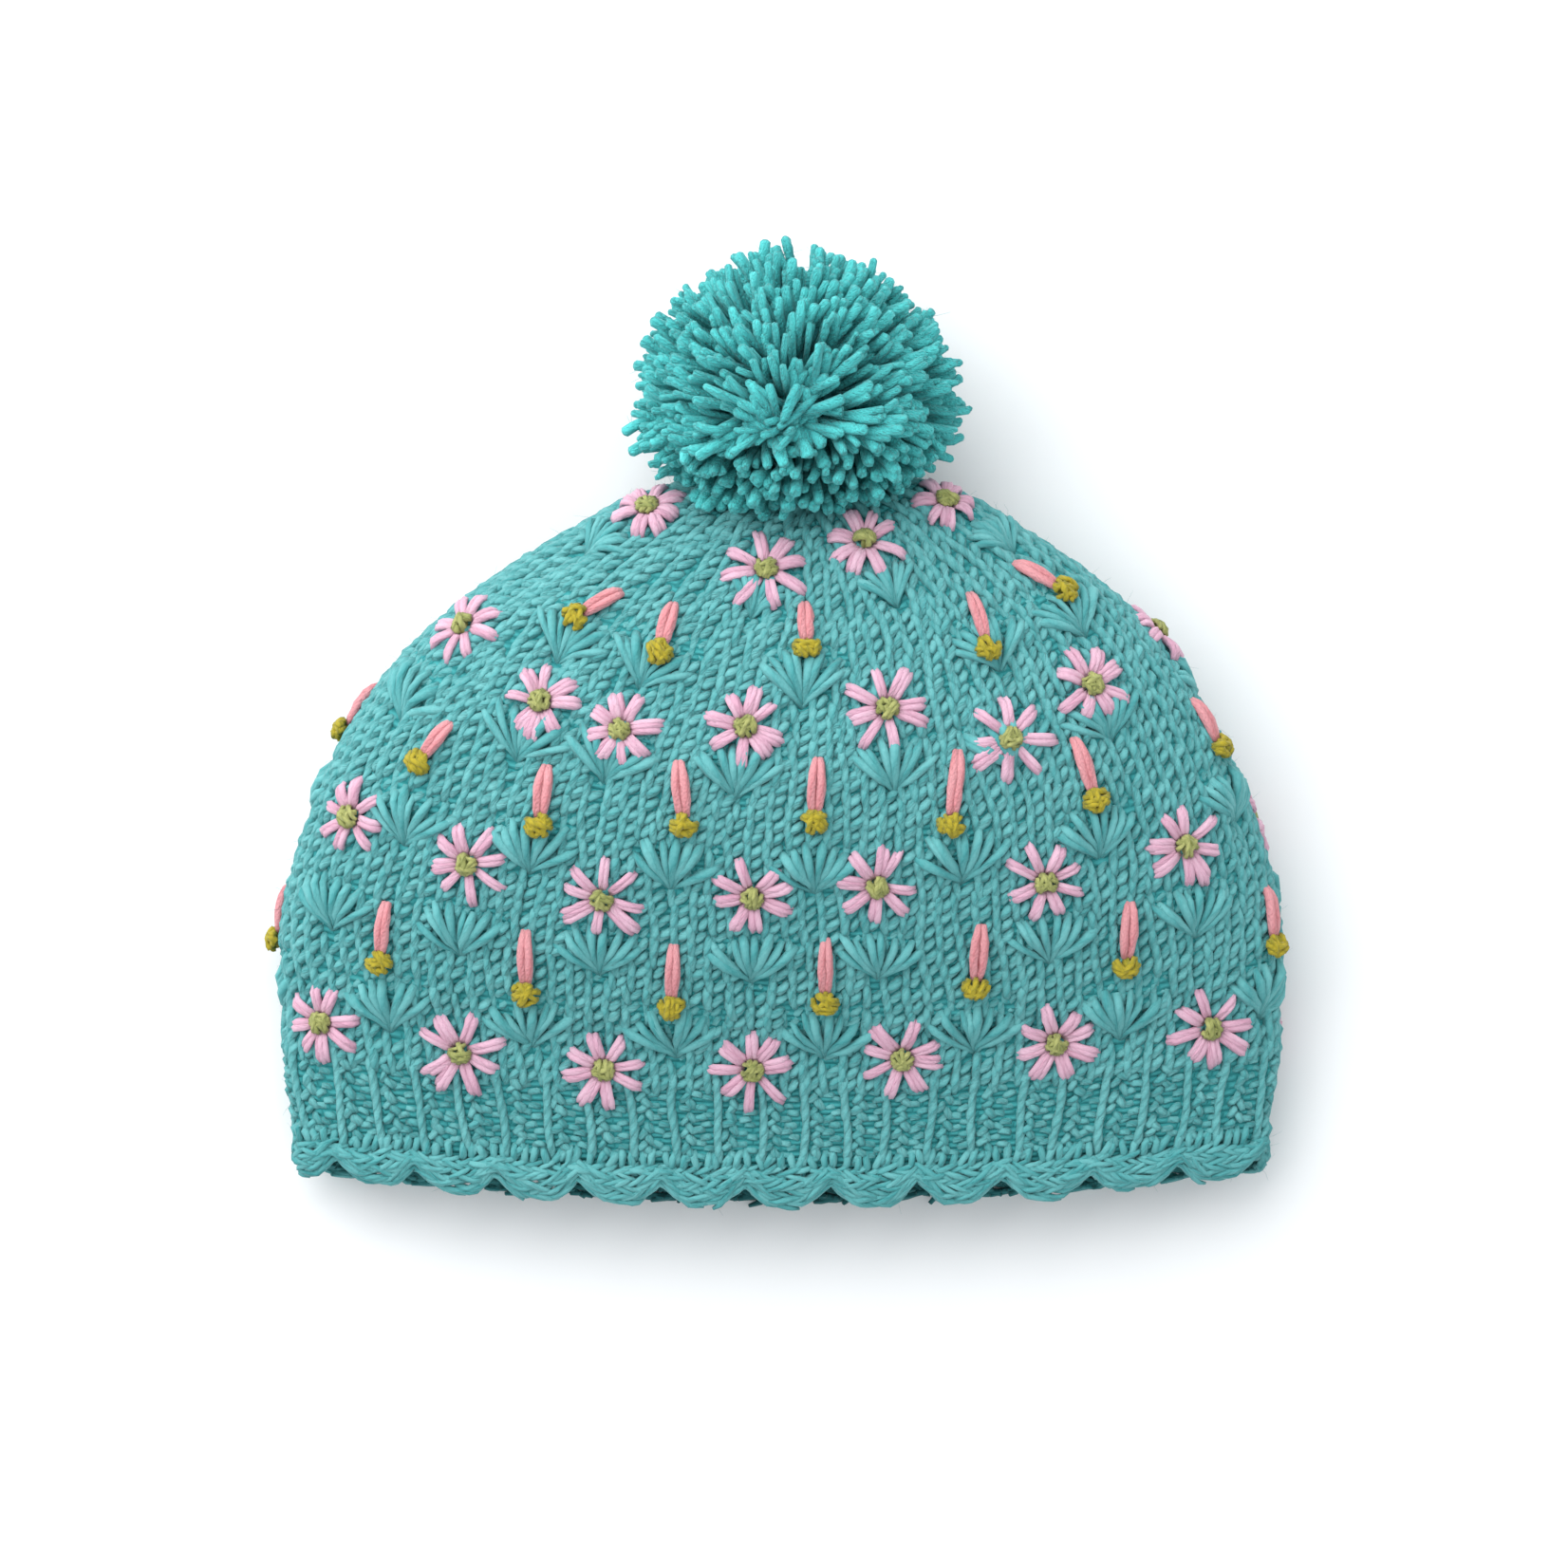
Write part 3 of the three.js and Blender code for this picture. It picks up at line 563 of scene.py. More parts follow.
def strands(name, paths, normals, radii, sides, material, tints=None, ends=0.35, rough=0.08):
    """One joined mesh of short yarn strands. Ends that show are rounded, hidden ones (ends=0) flat.
    paths and normals are strand by point by XYZ, and radii strand by point in millimetres."""
    # nothing sinks into the table that the hat lies on
    paths[..., 2] = np.maximum(paths[..., 2], radii * MM)
    count, steps, _ = paths.shape
    forward = one_long(np.gradient(paths, axis=1))
    side = one_long(np.cross(forward, normals))
    up = np.cross(side, forward)
    angle = np.arange(sides) / sides * 2 * np.pi
    ring = (np.cos(angle)[None, None, :, None] * side[:, :, None, :]
            + np.sin(angle)[None, None, :, None] * up[:, :, None, :])
    lumps = 1 + rough * SHUFFLE.normal(0, 1, (count, steps, sides))
    points = paths[:, :, None, :] + ring * (radii[:, :, None] * MM * lumps)[..., None]
    gaps = np.linalg.norm(np.diff(paths, axis=1), axis=2) / MM
    along = np.concatenate([np.zeros((count, 1)), np.cumsum(gaps, axis=1)], axis=1)
    if tints is None:
        tints = np.mod(np.arange(count) * TINT_STEP, 1.0)
    if tints.ndim == 1:
        tints = np.repeat(tints[:, None], steps, axis=1)
    if ends:
        # a smaller ring a little past each end rounds it off
        tip = ends * radii[:, [0, -1], None, None] * MM
        first = points[:, :1] * END_RING + paths[:, :1, None] * (1 - END_RING)
        last = points[:, -1:] * END_RING + paths[:, -1:, None] * (1 - END_RING)
        first -= forward[:, :1, None] * tip[:, :1]
        last += forward[:, -1:, None] * tip[:, 1:]
        points = np.concatenate([first, points, last], axis=1)
        along = np.pad(along, ((0, 0), (1, 1)), mode="edge")
        along[:, 0] -= END_LENGTH
        along[:, -1] += END_LENGTH
        tints = np.pad(tints, ((0, 0), (1, 1)), mode="edge")
    rows = points.shape[1]

    # corners of one strand's faces, the same for each
    here = np.arange(sides)
    column = np.tile(here, rows - 1)
    base = np.repeat(np.arange(rows - 1), sides) * sides
    beside = (column + 1) % sides
    quads = np.stack([base + column, base + beside, base + sides + beside, base + sides + column], 1)
    caps = np.stack([here[::-1], (rows - 1) * sides + here])
    corners = np.concatenate([quads.ravel(), caps.ravel()])
    sizes = np.r_[np.full(len(quads), 4), np.full(2, sides)]
    offsets = np.arange(count)[:, None] * rows * sides
    loops = (corners[None] + offsets).ravel()
    starts = np.r_[0, np.cumsum(np.tile(sizes, count))[:-1]]

    mesh = bpy.data.meshes.new(name)
    mesh.vertices.add(count * rows * sides)
    mesh.vertices.foreach_set("co", points.astype(np.float32).ravel())
    mesh.loops.add(len(loops))
    mesh.loops.foreach_set("vertex_index", loops.astype(np.int32))
    mesh.polygons.add(len(starts))
    mesh.polygons.foreach_set("loop_start", starts.astype(np.int32))
    mesh.update(calc_edges=True)
    mesh.polygons.foreach_set("use_smooth", np.ones(len(starts), dtype=bool))

    # U runs along the strand in millimetres and V once round it
    along = along + np.mod(np.arange(count) * TWIST_STEP, 1.0)[:, None] * TWIST_SPREAD
    corner_v = np.concatenate([np.stack([column, column + 1, column + 1, column], 1).ravel(),
                               here[::-1], here]) / sides
    uv = np.empty((count, len(corners), 2), dtype=np.float32)
    uv[:, :, 0] = along[:, corners // sides]
    uv[:, :, 1] = corner_v[None]
    layer = mesh.uv_layers.new(name="strand")
    layer.uv.foreach_set("vector", uv.ravel())
    tint = mesh.attributes.new("tint", "FLOAT", "POINT")
    tint.data.foreach_set("value", np.repeat(tints.ravel(), sides).astype(np.float32))
    return linked(name, mesh, material)


teal_wool = yarn_material("teal wool", TEAL_LIGHT, TEAL_DARK, plies=3.0, twist=0.3, bump=0.36)


def wales(at):
    """Turn of each standing wale at this height, and the width of one, both as shares of a turn."""
    girth = float(perimeter_at(at))
    if at <= NARROWING:
        number = REPEATS * STITCHES
        return (np.arange(number) + 0.5) / number, np.full(number, 1 / number)
    width = float(perimeter_at(NARROWING)) / (REPEATS * STITCHES)
    sector = girth / REPEATS
    count = min(max(1, round(sector / 2 / width)), STITCHES // 2)
    turns = []
    for k in range(REPEATS):
        for j in range(count):
            place = (j + 0.5) * width
            if j == count - 1:
                place = ((count - 1) * width + sector / 2) / 2
            turns += [(k * sector + place) / girth, ((k + 1) * sector - place) / girth]
    return np.array(turns), np.full(len(turns), width / girth)


FAN_REACH = 12.5
FAN_HEIGHT = 13.0
FAN_SHARE = 0.42
# half width of a fan at its dip and how much it grows up to its top, against FAN_REACH
FAN_FOOT = 0.22
FAN_SPREAD = 0.75
PRESSED_DEPTH = 1.0


def fan_size(at):
    """A fan is as wide as its sector lets it be."""
    return min(1.0, FAN_SHARE * float(perimeter_at(at)) / REPEATS / FAN_REACH)


def pressed_down(turn, at):
    """How far the stitches under a fan's strands are pressed into the hat, in mm."""
    depth = np.zeros(len(turn))
    girth = perimeter_at(at)
    for place, low in FANS:
        up = (at - low) / FAN_HEIGHT
        across = np.abs((turn - place + 0.5) % 1.0 - 0.5) * girth / (FAN_REACH * fan_size(low))
        inside = (up > -0.1) & (up < 1.0) & (across < FAN_FOOT + FAN_SPREAD * up)
        depth = np.where(inside, PRESSED_DEPTH, depth)
    return depth


# each wave of the wander: size in stitches, waves round the hat, mm upwards for one wave
WANDER = [(0.16, 3, 47), (0.12, 11, -31), (0.07, 29, 17)]


def drift(turn, at):
    """Slow sideways wander of hand-knitted wales, in stitches."""
    return sum(size * np.sin(2 * np.pi * (waves * turn + at / rise)) for size, waves, rise in WANDER)


# path of each leg: sideways in stitches, upwards in rows, outwards in mm, radius in mm
CORD_LEG = np.array([
    (-0.17, -0.62, -2.2, 0.98), (-0.19, -0.18, -1.15, 1.14), (-0.22, 0.30, -0.9, 1.2),
    (-0.25, 0.82, -1.05, 1.15), (-0.27, 1.30, -2.2, 0.98),
])
DASH_LEG = np.array([
    (0.00, -0.24, -2.1, 0.92), (0.12, 0.03, -1.15, 1.12), (0.27, 0.26, -0.8, 1.18),
    (0.43, 0.50, -1.1, 1.12), (0.56, 0.78, -2.1, 0.92),
])
ALL_POINTS = [0, 1, 2, 3, 4]
UNDERSIDE_POINTS = [0, 1, 3, 4]
LEG_DEPTH = -2.6
# the turn where the folded side ends and the underside starts
TOP_SHARE = 0.26
# range of the tints of the cords and of the dashes
LEG_TINTS = [(0.2, 0.8), (0.35, 1)]


def leg_paths(leg, turn, at, width, sink):
    count = len(turn)
    across = leg[None, :, 0] + SHUFFLE.normal(0, 0.03, (count, 1))
    tilt = SHUFFLE.normal(0, 0.05, (count, 1)) * np.linspace(-1, 1, len(leg))[None]
    upward = leg[None, :, 1] * ROW
    lift = leg[None, :, 2] + SHUFFLE.normal(0, 0.15, (count, 1)) - sink[:, None]
    lift = np.maximum(lift, LEG_DEPTH)
    radius = leg[None, :, 3] * SHUFFLE.normal(1, 0.06, (count, 1))
    paths, normals = skin_point(turn[:, None] + (across + tilt) * width[:, None], at[:, None] + upward, lift)
    return paths, normals, np.broadcast_to(radius, (count, len(leg))).copy()


rows = []
for at in np.arange(BAND_TOP + 1.0, CROWN_TIP - 4, ROW):
    turn, width = wales(at)
    rows.append((turn, np.full(len(turn), at), width))
turn, at, width = (np.concatenate(values) for values in zip(*rows))
at = at + SHUFFLE.normal(0, 0.2, len(turn))
turn = turn + (drift(turn, at) + SHUFFLE.normal(0, 0.045, len(turn))) * width
sink = pressed_down(np.mod(turn, 1.0), at + ROW / 2)
round_hat = np.mod(turn, 1.0)
on_top = (round_hat < TOP_SHARE) | (round_hat > 1 - TOP_SHARE)
on_right = round_hat <= 0.5
PARTS = [
    ("crown_stitches_left", on_top & ~on_right, 6, ALL_POINTS),
    ("crown_stitches_right", on_top & on_right, 6, ALL_POINTS),
    ("crown_stitches_under", ~on_top, 5, UNDERSIDE_POINTS),
]
for name, chosen, sides, kept in PARTS:
    stitches = [values[chosen] for values in (turn, at, width, sink)]
    legs = [leg_paths(leg[kept], *stitches) for leg in (CORD_LEG, DASH_LEG)]
    paths, normals, radii = (np.concatenate(values) for values in zip(*legs))
    tints = np.concatenate([SHUFFLE.uniform(low, high, chosen.sum()) for low, high in LEG_TINTS])
    piece = strands(name, paths, normals, radii, sides, teal_wool, tints=tints, ends=0)
    dressed(piece, "turquoise_yarn", "crown")

# Fan strands
# Long smooth strands of the same wool lie on the knitting. They come out along one row of stitches
# and are drawn together into a dip below it.

# where each strand comes out, sideways and above the dip in mm
FAN_STRANDS = [
    (-11.6, 8.4), (-9.0, 10.6), (-5.8, 11.8), (-2.4, 12.4),
    (1.1, 12.5), (4.6, 12.0), (8.0, 10.8), (11.3, 8.2),
]
FAN_RADIUS = 1.14
FAN_START = 1.5
SEAT_STEP = 2.0

# every second place of the skin, to lay strands on
LAY_SKIN = SKIN[::2, ::2]
LAY_ROWS, LAY_COLUMNS = LAY_SKIN.shape[:2]
lay_cells = [(row * LAY_COLUMNS, (row + 1) * LAY_COLUMNS, column, (column + 1) % LAY_COLUMNS)
             for row in range(LAY_ROWS - 1) for column in range(LAY_COLUMNS)]
outer_skin = BVHTree.FromPolygons(
    LAY_SKIN.reshape(-1, 3).tolist(),
    [(low + left, low + right, high + right, high + left) for low, high, left, right in lay_cells])


def seat_frame(turn, at):
    """Place, sideways, upward and outward directions of a spot on the hat."""
    here, normal = skin_point(turn, at, 0.0)
    upward = skin_point(turn, at + SEAT_STEP, 0.0)[0] - here
    upward = one_long(upward - normal * upward.dot(normal))
    return here, np.cross(upward, normal), upward, normal


def spread_out(spot, x, sideways, y, upwards):
    """Points so many millimetres from a spot in two directions."""
    return spot + (x[:, None] * sideways + y[:, None] * upwards) * MM


def laid(points, lift):
    """Points pressed onto the outside of the hat, then lifted by so many millimetres."""
    paths = np.empty_like(points)
    normals = np.empty_like(points)
    for index in np.ndindex(points.shape[:-1]):
        spot, normal, _, _ = outer_skin.find_nearest(Vector(points[index]))
        normals[index] = normal
        paths[index] = spot
    paths = paths + normals * np.broadcast_to(lift, points.shape[:-1])[..., None] * MM
    return paths, normals


# the wound knots that lie between the hat and the table are no thicker than this, in mm
PRESSED = ("daisy_knots", "bud_knots")
PRESSED_RADIUS = 2.0


def laid_strands(name, gathered, sides, material, **finish):
    """Strands laid on the outside of the hat. gathered holds, for each, its points, their lift and
    radius in mm, and where they differ its tint."""
    points, lift, radii, *tints = (np.array(values) for values in zip(*gathered))
    paths, normals = laid(points, lift)
    if name in PRESSED:
        radii = np.where(normals[..., 2] < 0, np.minimum(radii, PRESSED_RADIUS), radii)
    if tints:
        finish["tints"] = tints[0]
    return strands(name, paths, normals, radii, sides, material, **finish)


FAN_LIFT = np.array([-1.5, -0.5, 0.0, 0.15, 0.1, -1.5])
FAN_TAPER = np.array([0.45, 0.62, 0.86, 1.0, 1.02, 0.8])
gathered = []
steps = np.linspace(0, 1, 6)
for place, low in FANS:
    here, across, upward, _ = seat_frame(place, low)
    size = fan_size(low)
    for x_end, y_end in FAN_STRANDS:
        x_far = (x_end + SHUFFLE.normal(0, 0.8)) * size
        y_far = (y_end + SHUFFLE.normal(0, 0.8)) * (0.4 + 0.6 * size)
        x = x_far * steps**SHUFFLE.normal(1.12, 0.08)
        y = (y_far + FAN_START) * steps - FAN_START
        points = spread_out(here, x, across, y, upward)
        lift = FAN_LIFT + SHUFFLE.normal(0, 0.15)
        radius = FAN_TAPER * FAN_RADIUS * (0.6 + 0.4 * size) * SHUFFLE.normal(1, 0.12)
        gathered.append((points, lift, radius))
smooth_wool = yarn_material("smooth teal wool", TEAL_LIGHT, TEAL_DARK, twist=0.12, bump=0.22)
dressed(laid_strands("fans", gathered, 6, smooth_wool, ends=0), "turquoise_yarn", "crown")

# Rib band
# A short band of ribbing in the same wool, knitted on to the body. Smooth columns of knit stitches
# stand upright, with rows of purl bumps between them.

RIBS = 49
RIB_PITCH = 1 / RIBS
RIB_START = EDGING_TOP - 3
RIB_LENGTH = BAND_TOP - EDGING_TOP + 8
RIB_WAVES = 26
RIB_END_LIFT = -2.2

rib_turns = (np.arange(RIBS) + 0.5) * RIB_PITCH
span = np.linspace(0, 1, 12)
phase = SHUFFLE.uniform(0, 2 * np.pi, (RIBS, 1))
sway = 0.04 * np.sin(span[None] * 6 + phase) + SHUFFLE.normal(0, 0.05, (RIBS, 1))
sway = sway + SHUFFLE.normal(-0.05, 0.08, (RIBS, 1)) * (span[None] - 0.5)
rib_at = RIB_START + span[None] * RIB_LENGTH + SHUFFLE.normal(0, 0.8, (RIBS, 1))
stitch_bumps = np.sin(span[None] * RIB_WAVES + phase)
rib_lift = -0.85 + 0.15 * stitch_bumps
rib_lift[:, [0, -1]] = RIB_END_LIFT
rib_radius = 1.1 + 0.1 * stitch_bumps
paths, normals = skin_point(rib_turns[:, None] + RIB_PITCH * sway, rib_at, rib_lift)
tints = SHUFFLE.uniform(0.5, 1, RIBS)
columns = strands("rib_columns", paths, normals, rib_radius, 6, teal_wool, tints=tints)
dressed(columns, "turquoise_yarn", "rib_band")

# path of each stitch: sideways and upwards in mm, outwards in mm, radius in mm
ROPE_LEFT = np.array([(-1.8, -1.3, -2.2, 0.8), (-0.95, -0.6, -1.05, 1.02), (-0.1, 0.25, -0.75, 1.06),
                      (0.7, 1.2, -2.2, 0.8)])
ROPE_RIGHT = ROPE_LEFT * np.array([-1, 1, 1, 1])
PURL_BUMP = np.array([(-1.6, -0.6, -2.2, 0.8), (-0.6, 0.05, -1.35, 0.98), (0.6, 0.15, -1.25, 0.98),
                      (1.6, -0.4, -2.2, 0.8)])
# each column between two ribs: sideways in rib pitches, stitch, start in rows
RIB_COLUMNS = [
    (0.30, ROPE_LEFT, 0.0), (0.34, ROPE_RIGHT, 0.5),
    (0.60, PURL_BUMP, 0.25), (0.78, PURL_BUMP, 0.75),
]
rib_girth = float(perimeter_at(BAND_TOP - ROW))
rib_rows = np.arange(EDGING_TOP - 1.5, BAND_TOP + 1.0, ROW)
groups = []
for shift, leg, start in RIB_COLUMNS:
    turn = np.repeat(rib_turns + shift * RIB_PITCH, len(rib_rows))
    at = np.tile(rib_rows + start * ROW, RIBS) + SHUFFLE.normal(0, 0.2, len(turn))
    turn = turn + SHUFFLE.normal(0, 0.03, len(turn)) * RIB_PITCH
    spin = SHUFFLE.normal(0, 0.2, (len(turn), 1))
    across = leg[None, :, 0] * np.cos(spin) - leg[None, :, 1] * np.sin(spin)
    upward = leg[None, :, 0] * np.sin(spin) + leg[None, :, 1] * np.cos(spin)
    lift = leg[None, :, 2] + SHUFFLE.normal(0, 0.15, (len(turn), 1))
    radius = leg[None, :, 3] * SHUFFLE.normal(1, 0.08, (len(turn), 1))
    paths, normals = skin_point(turn[:, None] + across / rib_girth, at[:, None] + upward, lift)
    groups.append((paths, normals, radius))
paths, normals, radii = (np.concatenate(parts) for parts in zip(*groups))
bumps = strands("rib_bumps", paths, normals, radii, 5, teal_wool, ends=0)
dressed(bumps, "turquoise_yarn", "rib_band")

# Crocheted edging
# The rim is crocheted on to the ribbing in the same wool: a row of short upright posts, then a chain
# of slanting loops in 24 shallow swags that meet in small notches.

SCALLOPS = 24
SCALLOP_DEPTH = 6.1
NOTCH_SHARPNESS = 1.25
SWAG_FLAT = 0.35
FIRST_NOTCH = 0.42
LOWER_LAYER_SHIFT = -0.34
LOWER_LAYER_RISE = 2.3


def lower_layer(turn):
    """0 in the middle of the front and 1 in the middle of the back."""
    return (1 - np.cos(2 * np.pi * turn)) / 2


def scallop_rise(turn):
    """How far the rim rises above its lowest point. The swags of the lower layer lie between those
    of the upper one."""
    share = np.mod(turn * SCALLOPS + FIRST_NOTCH + LOWER_LAYER_SHIFT * lower_layer(turn), 1.0)
    slope = (np.abs(2 * share - 1) - SWAG_FLAT) / (1 - SWAG_FLAT)
    return SCALLOP_DEPTH * np.clip(slope, 0, 1)**NOTCH_SHARPNESS


EDGE_GIRTH = float(perimeter_at(6.0))


def edge_strands(turn, height, path, swag, shade=1.1):
    """Copies of one strand round the rim: path is sideways, up, out and radius, and swag how closely
    the strand follows the swags. The last value is the tint, with painted shade on the lower layer, where
    the upper one hides it from the light; shade says how deep."""
    lower = lower_layer(turn)**2
    # the lower layer gets painted shade through a tint below zero
    tint = np.mod(np.arange(len(turn)) * TINT_STEP, 1.0) * (1 - lower) - shade * lower
    turn = turn[:, None] + path[..., 0] / EDGE_GIRTH
    up = height + path[..., 1] + swag * scallop_rise(turn) + LOWER_LAYER_RISE * lower_layer(turn)
    paths, normals = skin_point(turn, up, path[..., 2])
    radius = np.broadcast_to(path[..., 3], paths.shape[:-1]).copy()
    return paths, normals, radius, tint


POST = np.array([
    (-0.5, -2.6, -1.9, 0.8), (-0.1, -1.1, -0.8, 1.0), (0.15, 0.8, -0.6, 1.05), (0.5, 2.5, -2.0, 0.8),
])
# loops that wrap the end of the knitting inside the mouth
LIP = np.array([
    (-0.3, -0.2, -0.8, 0.9), (0.2, -1.0, -1.9, 1.15), (0.2, -1.0, -3.3, 1.15), (-0.3, 0.9, -4.5, 0.9),
])
POSTS = SCALLOPS * 8
POST_HEIGHT = 12.6
POST_SWAG = 0.1
LIP_HEIGHT = 11.0
# how deep the painted shade is on the lower layer of the lip
LIP_PAINTED_SHADE = 0.2


def varied(path, spread):
    """Copies of a path for all the posts, each a little different."""
    return path[None] + SHUFFLE.normal(0, spread, (POSTS, *path.shape)) * np.array([1, 1, 0.6, 0.2])


turn = (np.arange(POSTS) + SHUFFLE.normal(0, 0.15, POSTS)) / POSTS
post_paths = varied(POST, 0.2)
post_paths[..., 0] += SHUFFLE.normal(0, 0.25, (POSTS, 1)) * post_paths[..., 1]
lip_height = LIP_HEIGHT - LOWER_LAYER_RISE * lower_layer(turn)[:, None]
rows = [
    ("edging_posts", edge_strands(turn, POST_HEIGHT, post_paths, POST_SWAG)),
    ("edging_lip", edge_strands(turn, lip_height, varied(LIP, 0.15), 0, LIP_PAINTED_SHADE)),
]

# each row of chain: strands in a scallop, height above the rim, how closely it follows the swag,
# slant, half length and radius in mm, how far it stands out
CHAIN_ROWS = [
    (6, 10.2, 0.1, 0.4, 3.4, 0.85, -0.4), (7, 8.7, 0.3, -0.36, 3.9, 0.8, 0.1),
    (7, 7.2, 0.5, 0.42, 4.2, 0.78, 0.5), (7, 5.6, 0.75, -0.34, 4.4, 0.76, 0.4),
    (7, 3.9, 0.95, 0.3, 4.6, 0.8, 0.2), (6, 2.2, 1.0, -0.12, 5.0, 0.85, -0.5),
]
CHAIN_STEPS = np.linspace(-1, 1, 7)
CHAIN_TAPER = np.array([0.6, 0.85, 0.97, 1.0, 0.97, 0.85, 0.6])
for number, (links, base, swag, slant, half, thick, out) in enumerate(CHAIN_ROWS, 1):
    count = SCALLOPS * links
    turn = (np.arange(count) + SHUFFLE.uniform(0, 1) + SHUFFLE.normal(0, 0.12, count)) / count
    along = CHAIN_STEPS[None] * half * SHUFFLE.normal(1, 0.12, (count, 1))
    climb = (slant + SHUFFLE.normal(0, 0.12, (count, 1))) * along + SHUFFLE.normal(0, 0.3, (count, 1))
    lift = out - 1.4 * np.abs(CHAIN_STEPS[None])**3 + SHUFFLE.normal(0, 0.18, (count, 1))
    radius = thick * CHAIN_TAPER[None] * SHUFFLE.normal(1, 0.09, (count, 1))
    path = np.stack([along, climb, lift, radius], axis=2)
    rows.append((f"edging_chain_{number}", edge_strands(turn, base, path, swag)))

for name, (paths, normals, radii, tints) in rows:
    piece = strands(name, paths, normals, radii, 5, smooth_wool, tints=tints, ends=0)
    dressed(piece, "turquoise_yarn", "scalloped_edging")

# Pompom
# A ball of cut yarn ends, bound in the middle and sewn to the tip. The ends part near the top and lie
# outwards all round, and the lower ones stand up towards the eye and hang over the crown.

POMPOM_MIDDLE = node_middle("pompom")
POMPOM_HALF = np.array(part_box("pompom")[1]) - POMPOM_MIDDLE
POMPOM_ENDS = 1500
END_LENGTHS = (12, 21)
END_RADII = (0.8, 1.42)
END_TAPER = np.array([0.65, 0.75, 0.9, 1.05, 0.92])
# from the binding out to the cut end
END_STEPS = np.array([0.2, 0.5, 0.75, 0.9, 1.0])
# tint of each end from the binding out: painted shade deep in the ball, lighter towards the cut end
END_TINTS = np.array([0.0, 0.1, 0.4, 0.75, 0.95])
CORE_SIZE = 0.6
PARTING = one_long(np.array([-0.08, -0.27, 1.0]))
PARTING_WIDTH = 0.06
TOWARDS_EYE = np.array([0, -0.25, 1.0])
PULL_FROM_PARTING = 1.5
PULL_TO_EYE = 1.6
END_LEAN = 0.24
TUFT_LEAN = 0.3
MEAN_REACH = 0.94
# the ball is widest below its middle, where it rests on the crown
POMPOM_WIDTH = np.array([0.97, 1.0, 1.0])
POMPOM_DROOP = 0.16

number = np.arange(POMPOM_ENDS) + 0.5
polar = np.arccos(1 - 2 * number / POMPOM_ENDS)
round_it = number * math.pi * (3 - math.sqrt(5))
unit = np.stack([np.sin(polar) * np.cos(round_it), np.sin(polar) * np.sin(round_it), np.cos(polar)], 1)
unit = one_long(unit + SHUFFLE.normal(0, 0.06, unit.shape))
away = one_long(unit - PARTING * (unit @ PARTING)[:, None])
upper = np.clip(unit[:, 2] + 0.35, 0, 1)[:, None]
hanging = (np.clip(-0.25 - unit[:, 1], 0, 0.45) / 0.45 * np.clip(unit[:, 2] * 2 + 0.4, 0, 1))[:, None]
# tufts: ends that lie close together lean the same way and reach as far
tuft = np.sin(unit @ np.array([7.0, 3.0, -4.0]) + 1.0) + np.sin(unit @ np.array([-3.0, 8.0, 5.0]))
tuft = tuft[:, None] / 2
parted = np.exp(-((1 - unit @ PARTING) / PARTING_WIDTH)**2)[:, None]
reach = MEAN_REACH - 0.12 * parted + 0.04 * tuft + SHUFFLE.normal(0, 0.05, (POMPOM_ENDS, 1))
ball = unit * POMPOM_WIDTH
ball[:, 1] -= POMPOM_DROOP * (1 - unit[:, 1]**2)
tips = ball * POMPOM_HALF * np.clip(reach, 0.75, 1.05)
heading = unit * (1 - 0.55 * upper) + away * PULL_FROM_PARTING * upper * (1 - hanging)
heading = heading + TOWARDS_EYE * PULL_TO_EYE * hanging
lean = SHUFFLE.normal(0, END_LEAN, unit.shape) * (1 + 1.2 * parted)
heading = one_long(heading + (lean + TUFT_LEAN * tuft * np.roll(away, 1, axis=1)))
length = SHUFFLE.uniform(*END_LENGTHS, (POMPOM_ENDS, 1)) * MM
bend = tips - heading * length + SHUFFLE.normal(0, 2.0, unit.shape) * MM
root = unit * POMPOM_HALF * 0.25 - away * POMPOM_HALF * 0.12 * upper
share = END_STEPS[None, :, None]
paths = (1 - share)**2 * root[:, None] + 2 * share * (1 - share) * bend[:, None]
paths = paths + share**2 * tips[:, None] + POMPOM_MIDDLE
radii = SHUFFLE.uniform(*END_RADII, (POMPOM_ENDS, 1)) * END_TAPER
radii = radii * (1 + 0.2 * hanging)
normals = np.broadcast_to(np.roll(heading, 1, axis=1)[:, None], paths.shape)
# each end's tint is random, with painted shade towards the binding and in the parting, and painted light on
# the lower ends, which hang towards the eye
tints = SHUFFLE.uniform(-0.4, 0.25, (POMPOM_ENDS, 1)) + END_TINTS
tints = tints + 0.3 * hanging - 0.35 * parted
POMPOM_LIGHT = (0.105, 0.71, 0.70, 1)
POMPOM_DARK = (0.002, 0.19, 0.205, 1)
pompom_wool = yarn_material("pompom wool", POMPOM_LIGHT, POMPOM_DARK, fibre=1.3, bump=0.4, sheen=0.15)
tints = np.clip(tints, 0, 1.1)
ends = strands("pompom_ends", paths, normals, radii, 6, pompom_wool, tints=tints, ends=0.5, rough=0.13)
dressed(ends, "pompom_yarn", "pompom")
tuft_tips = paths[:, 3]
tuft_ways = heading

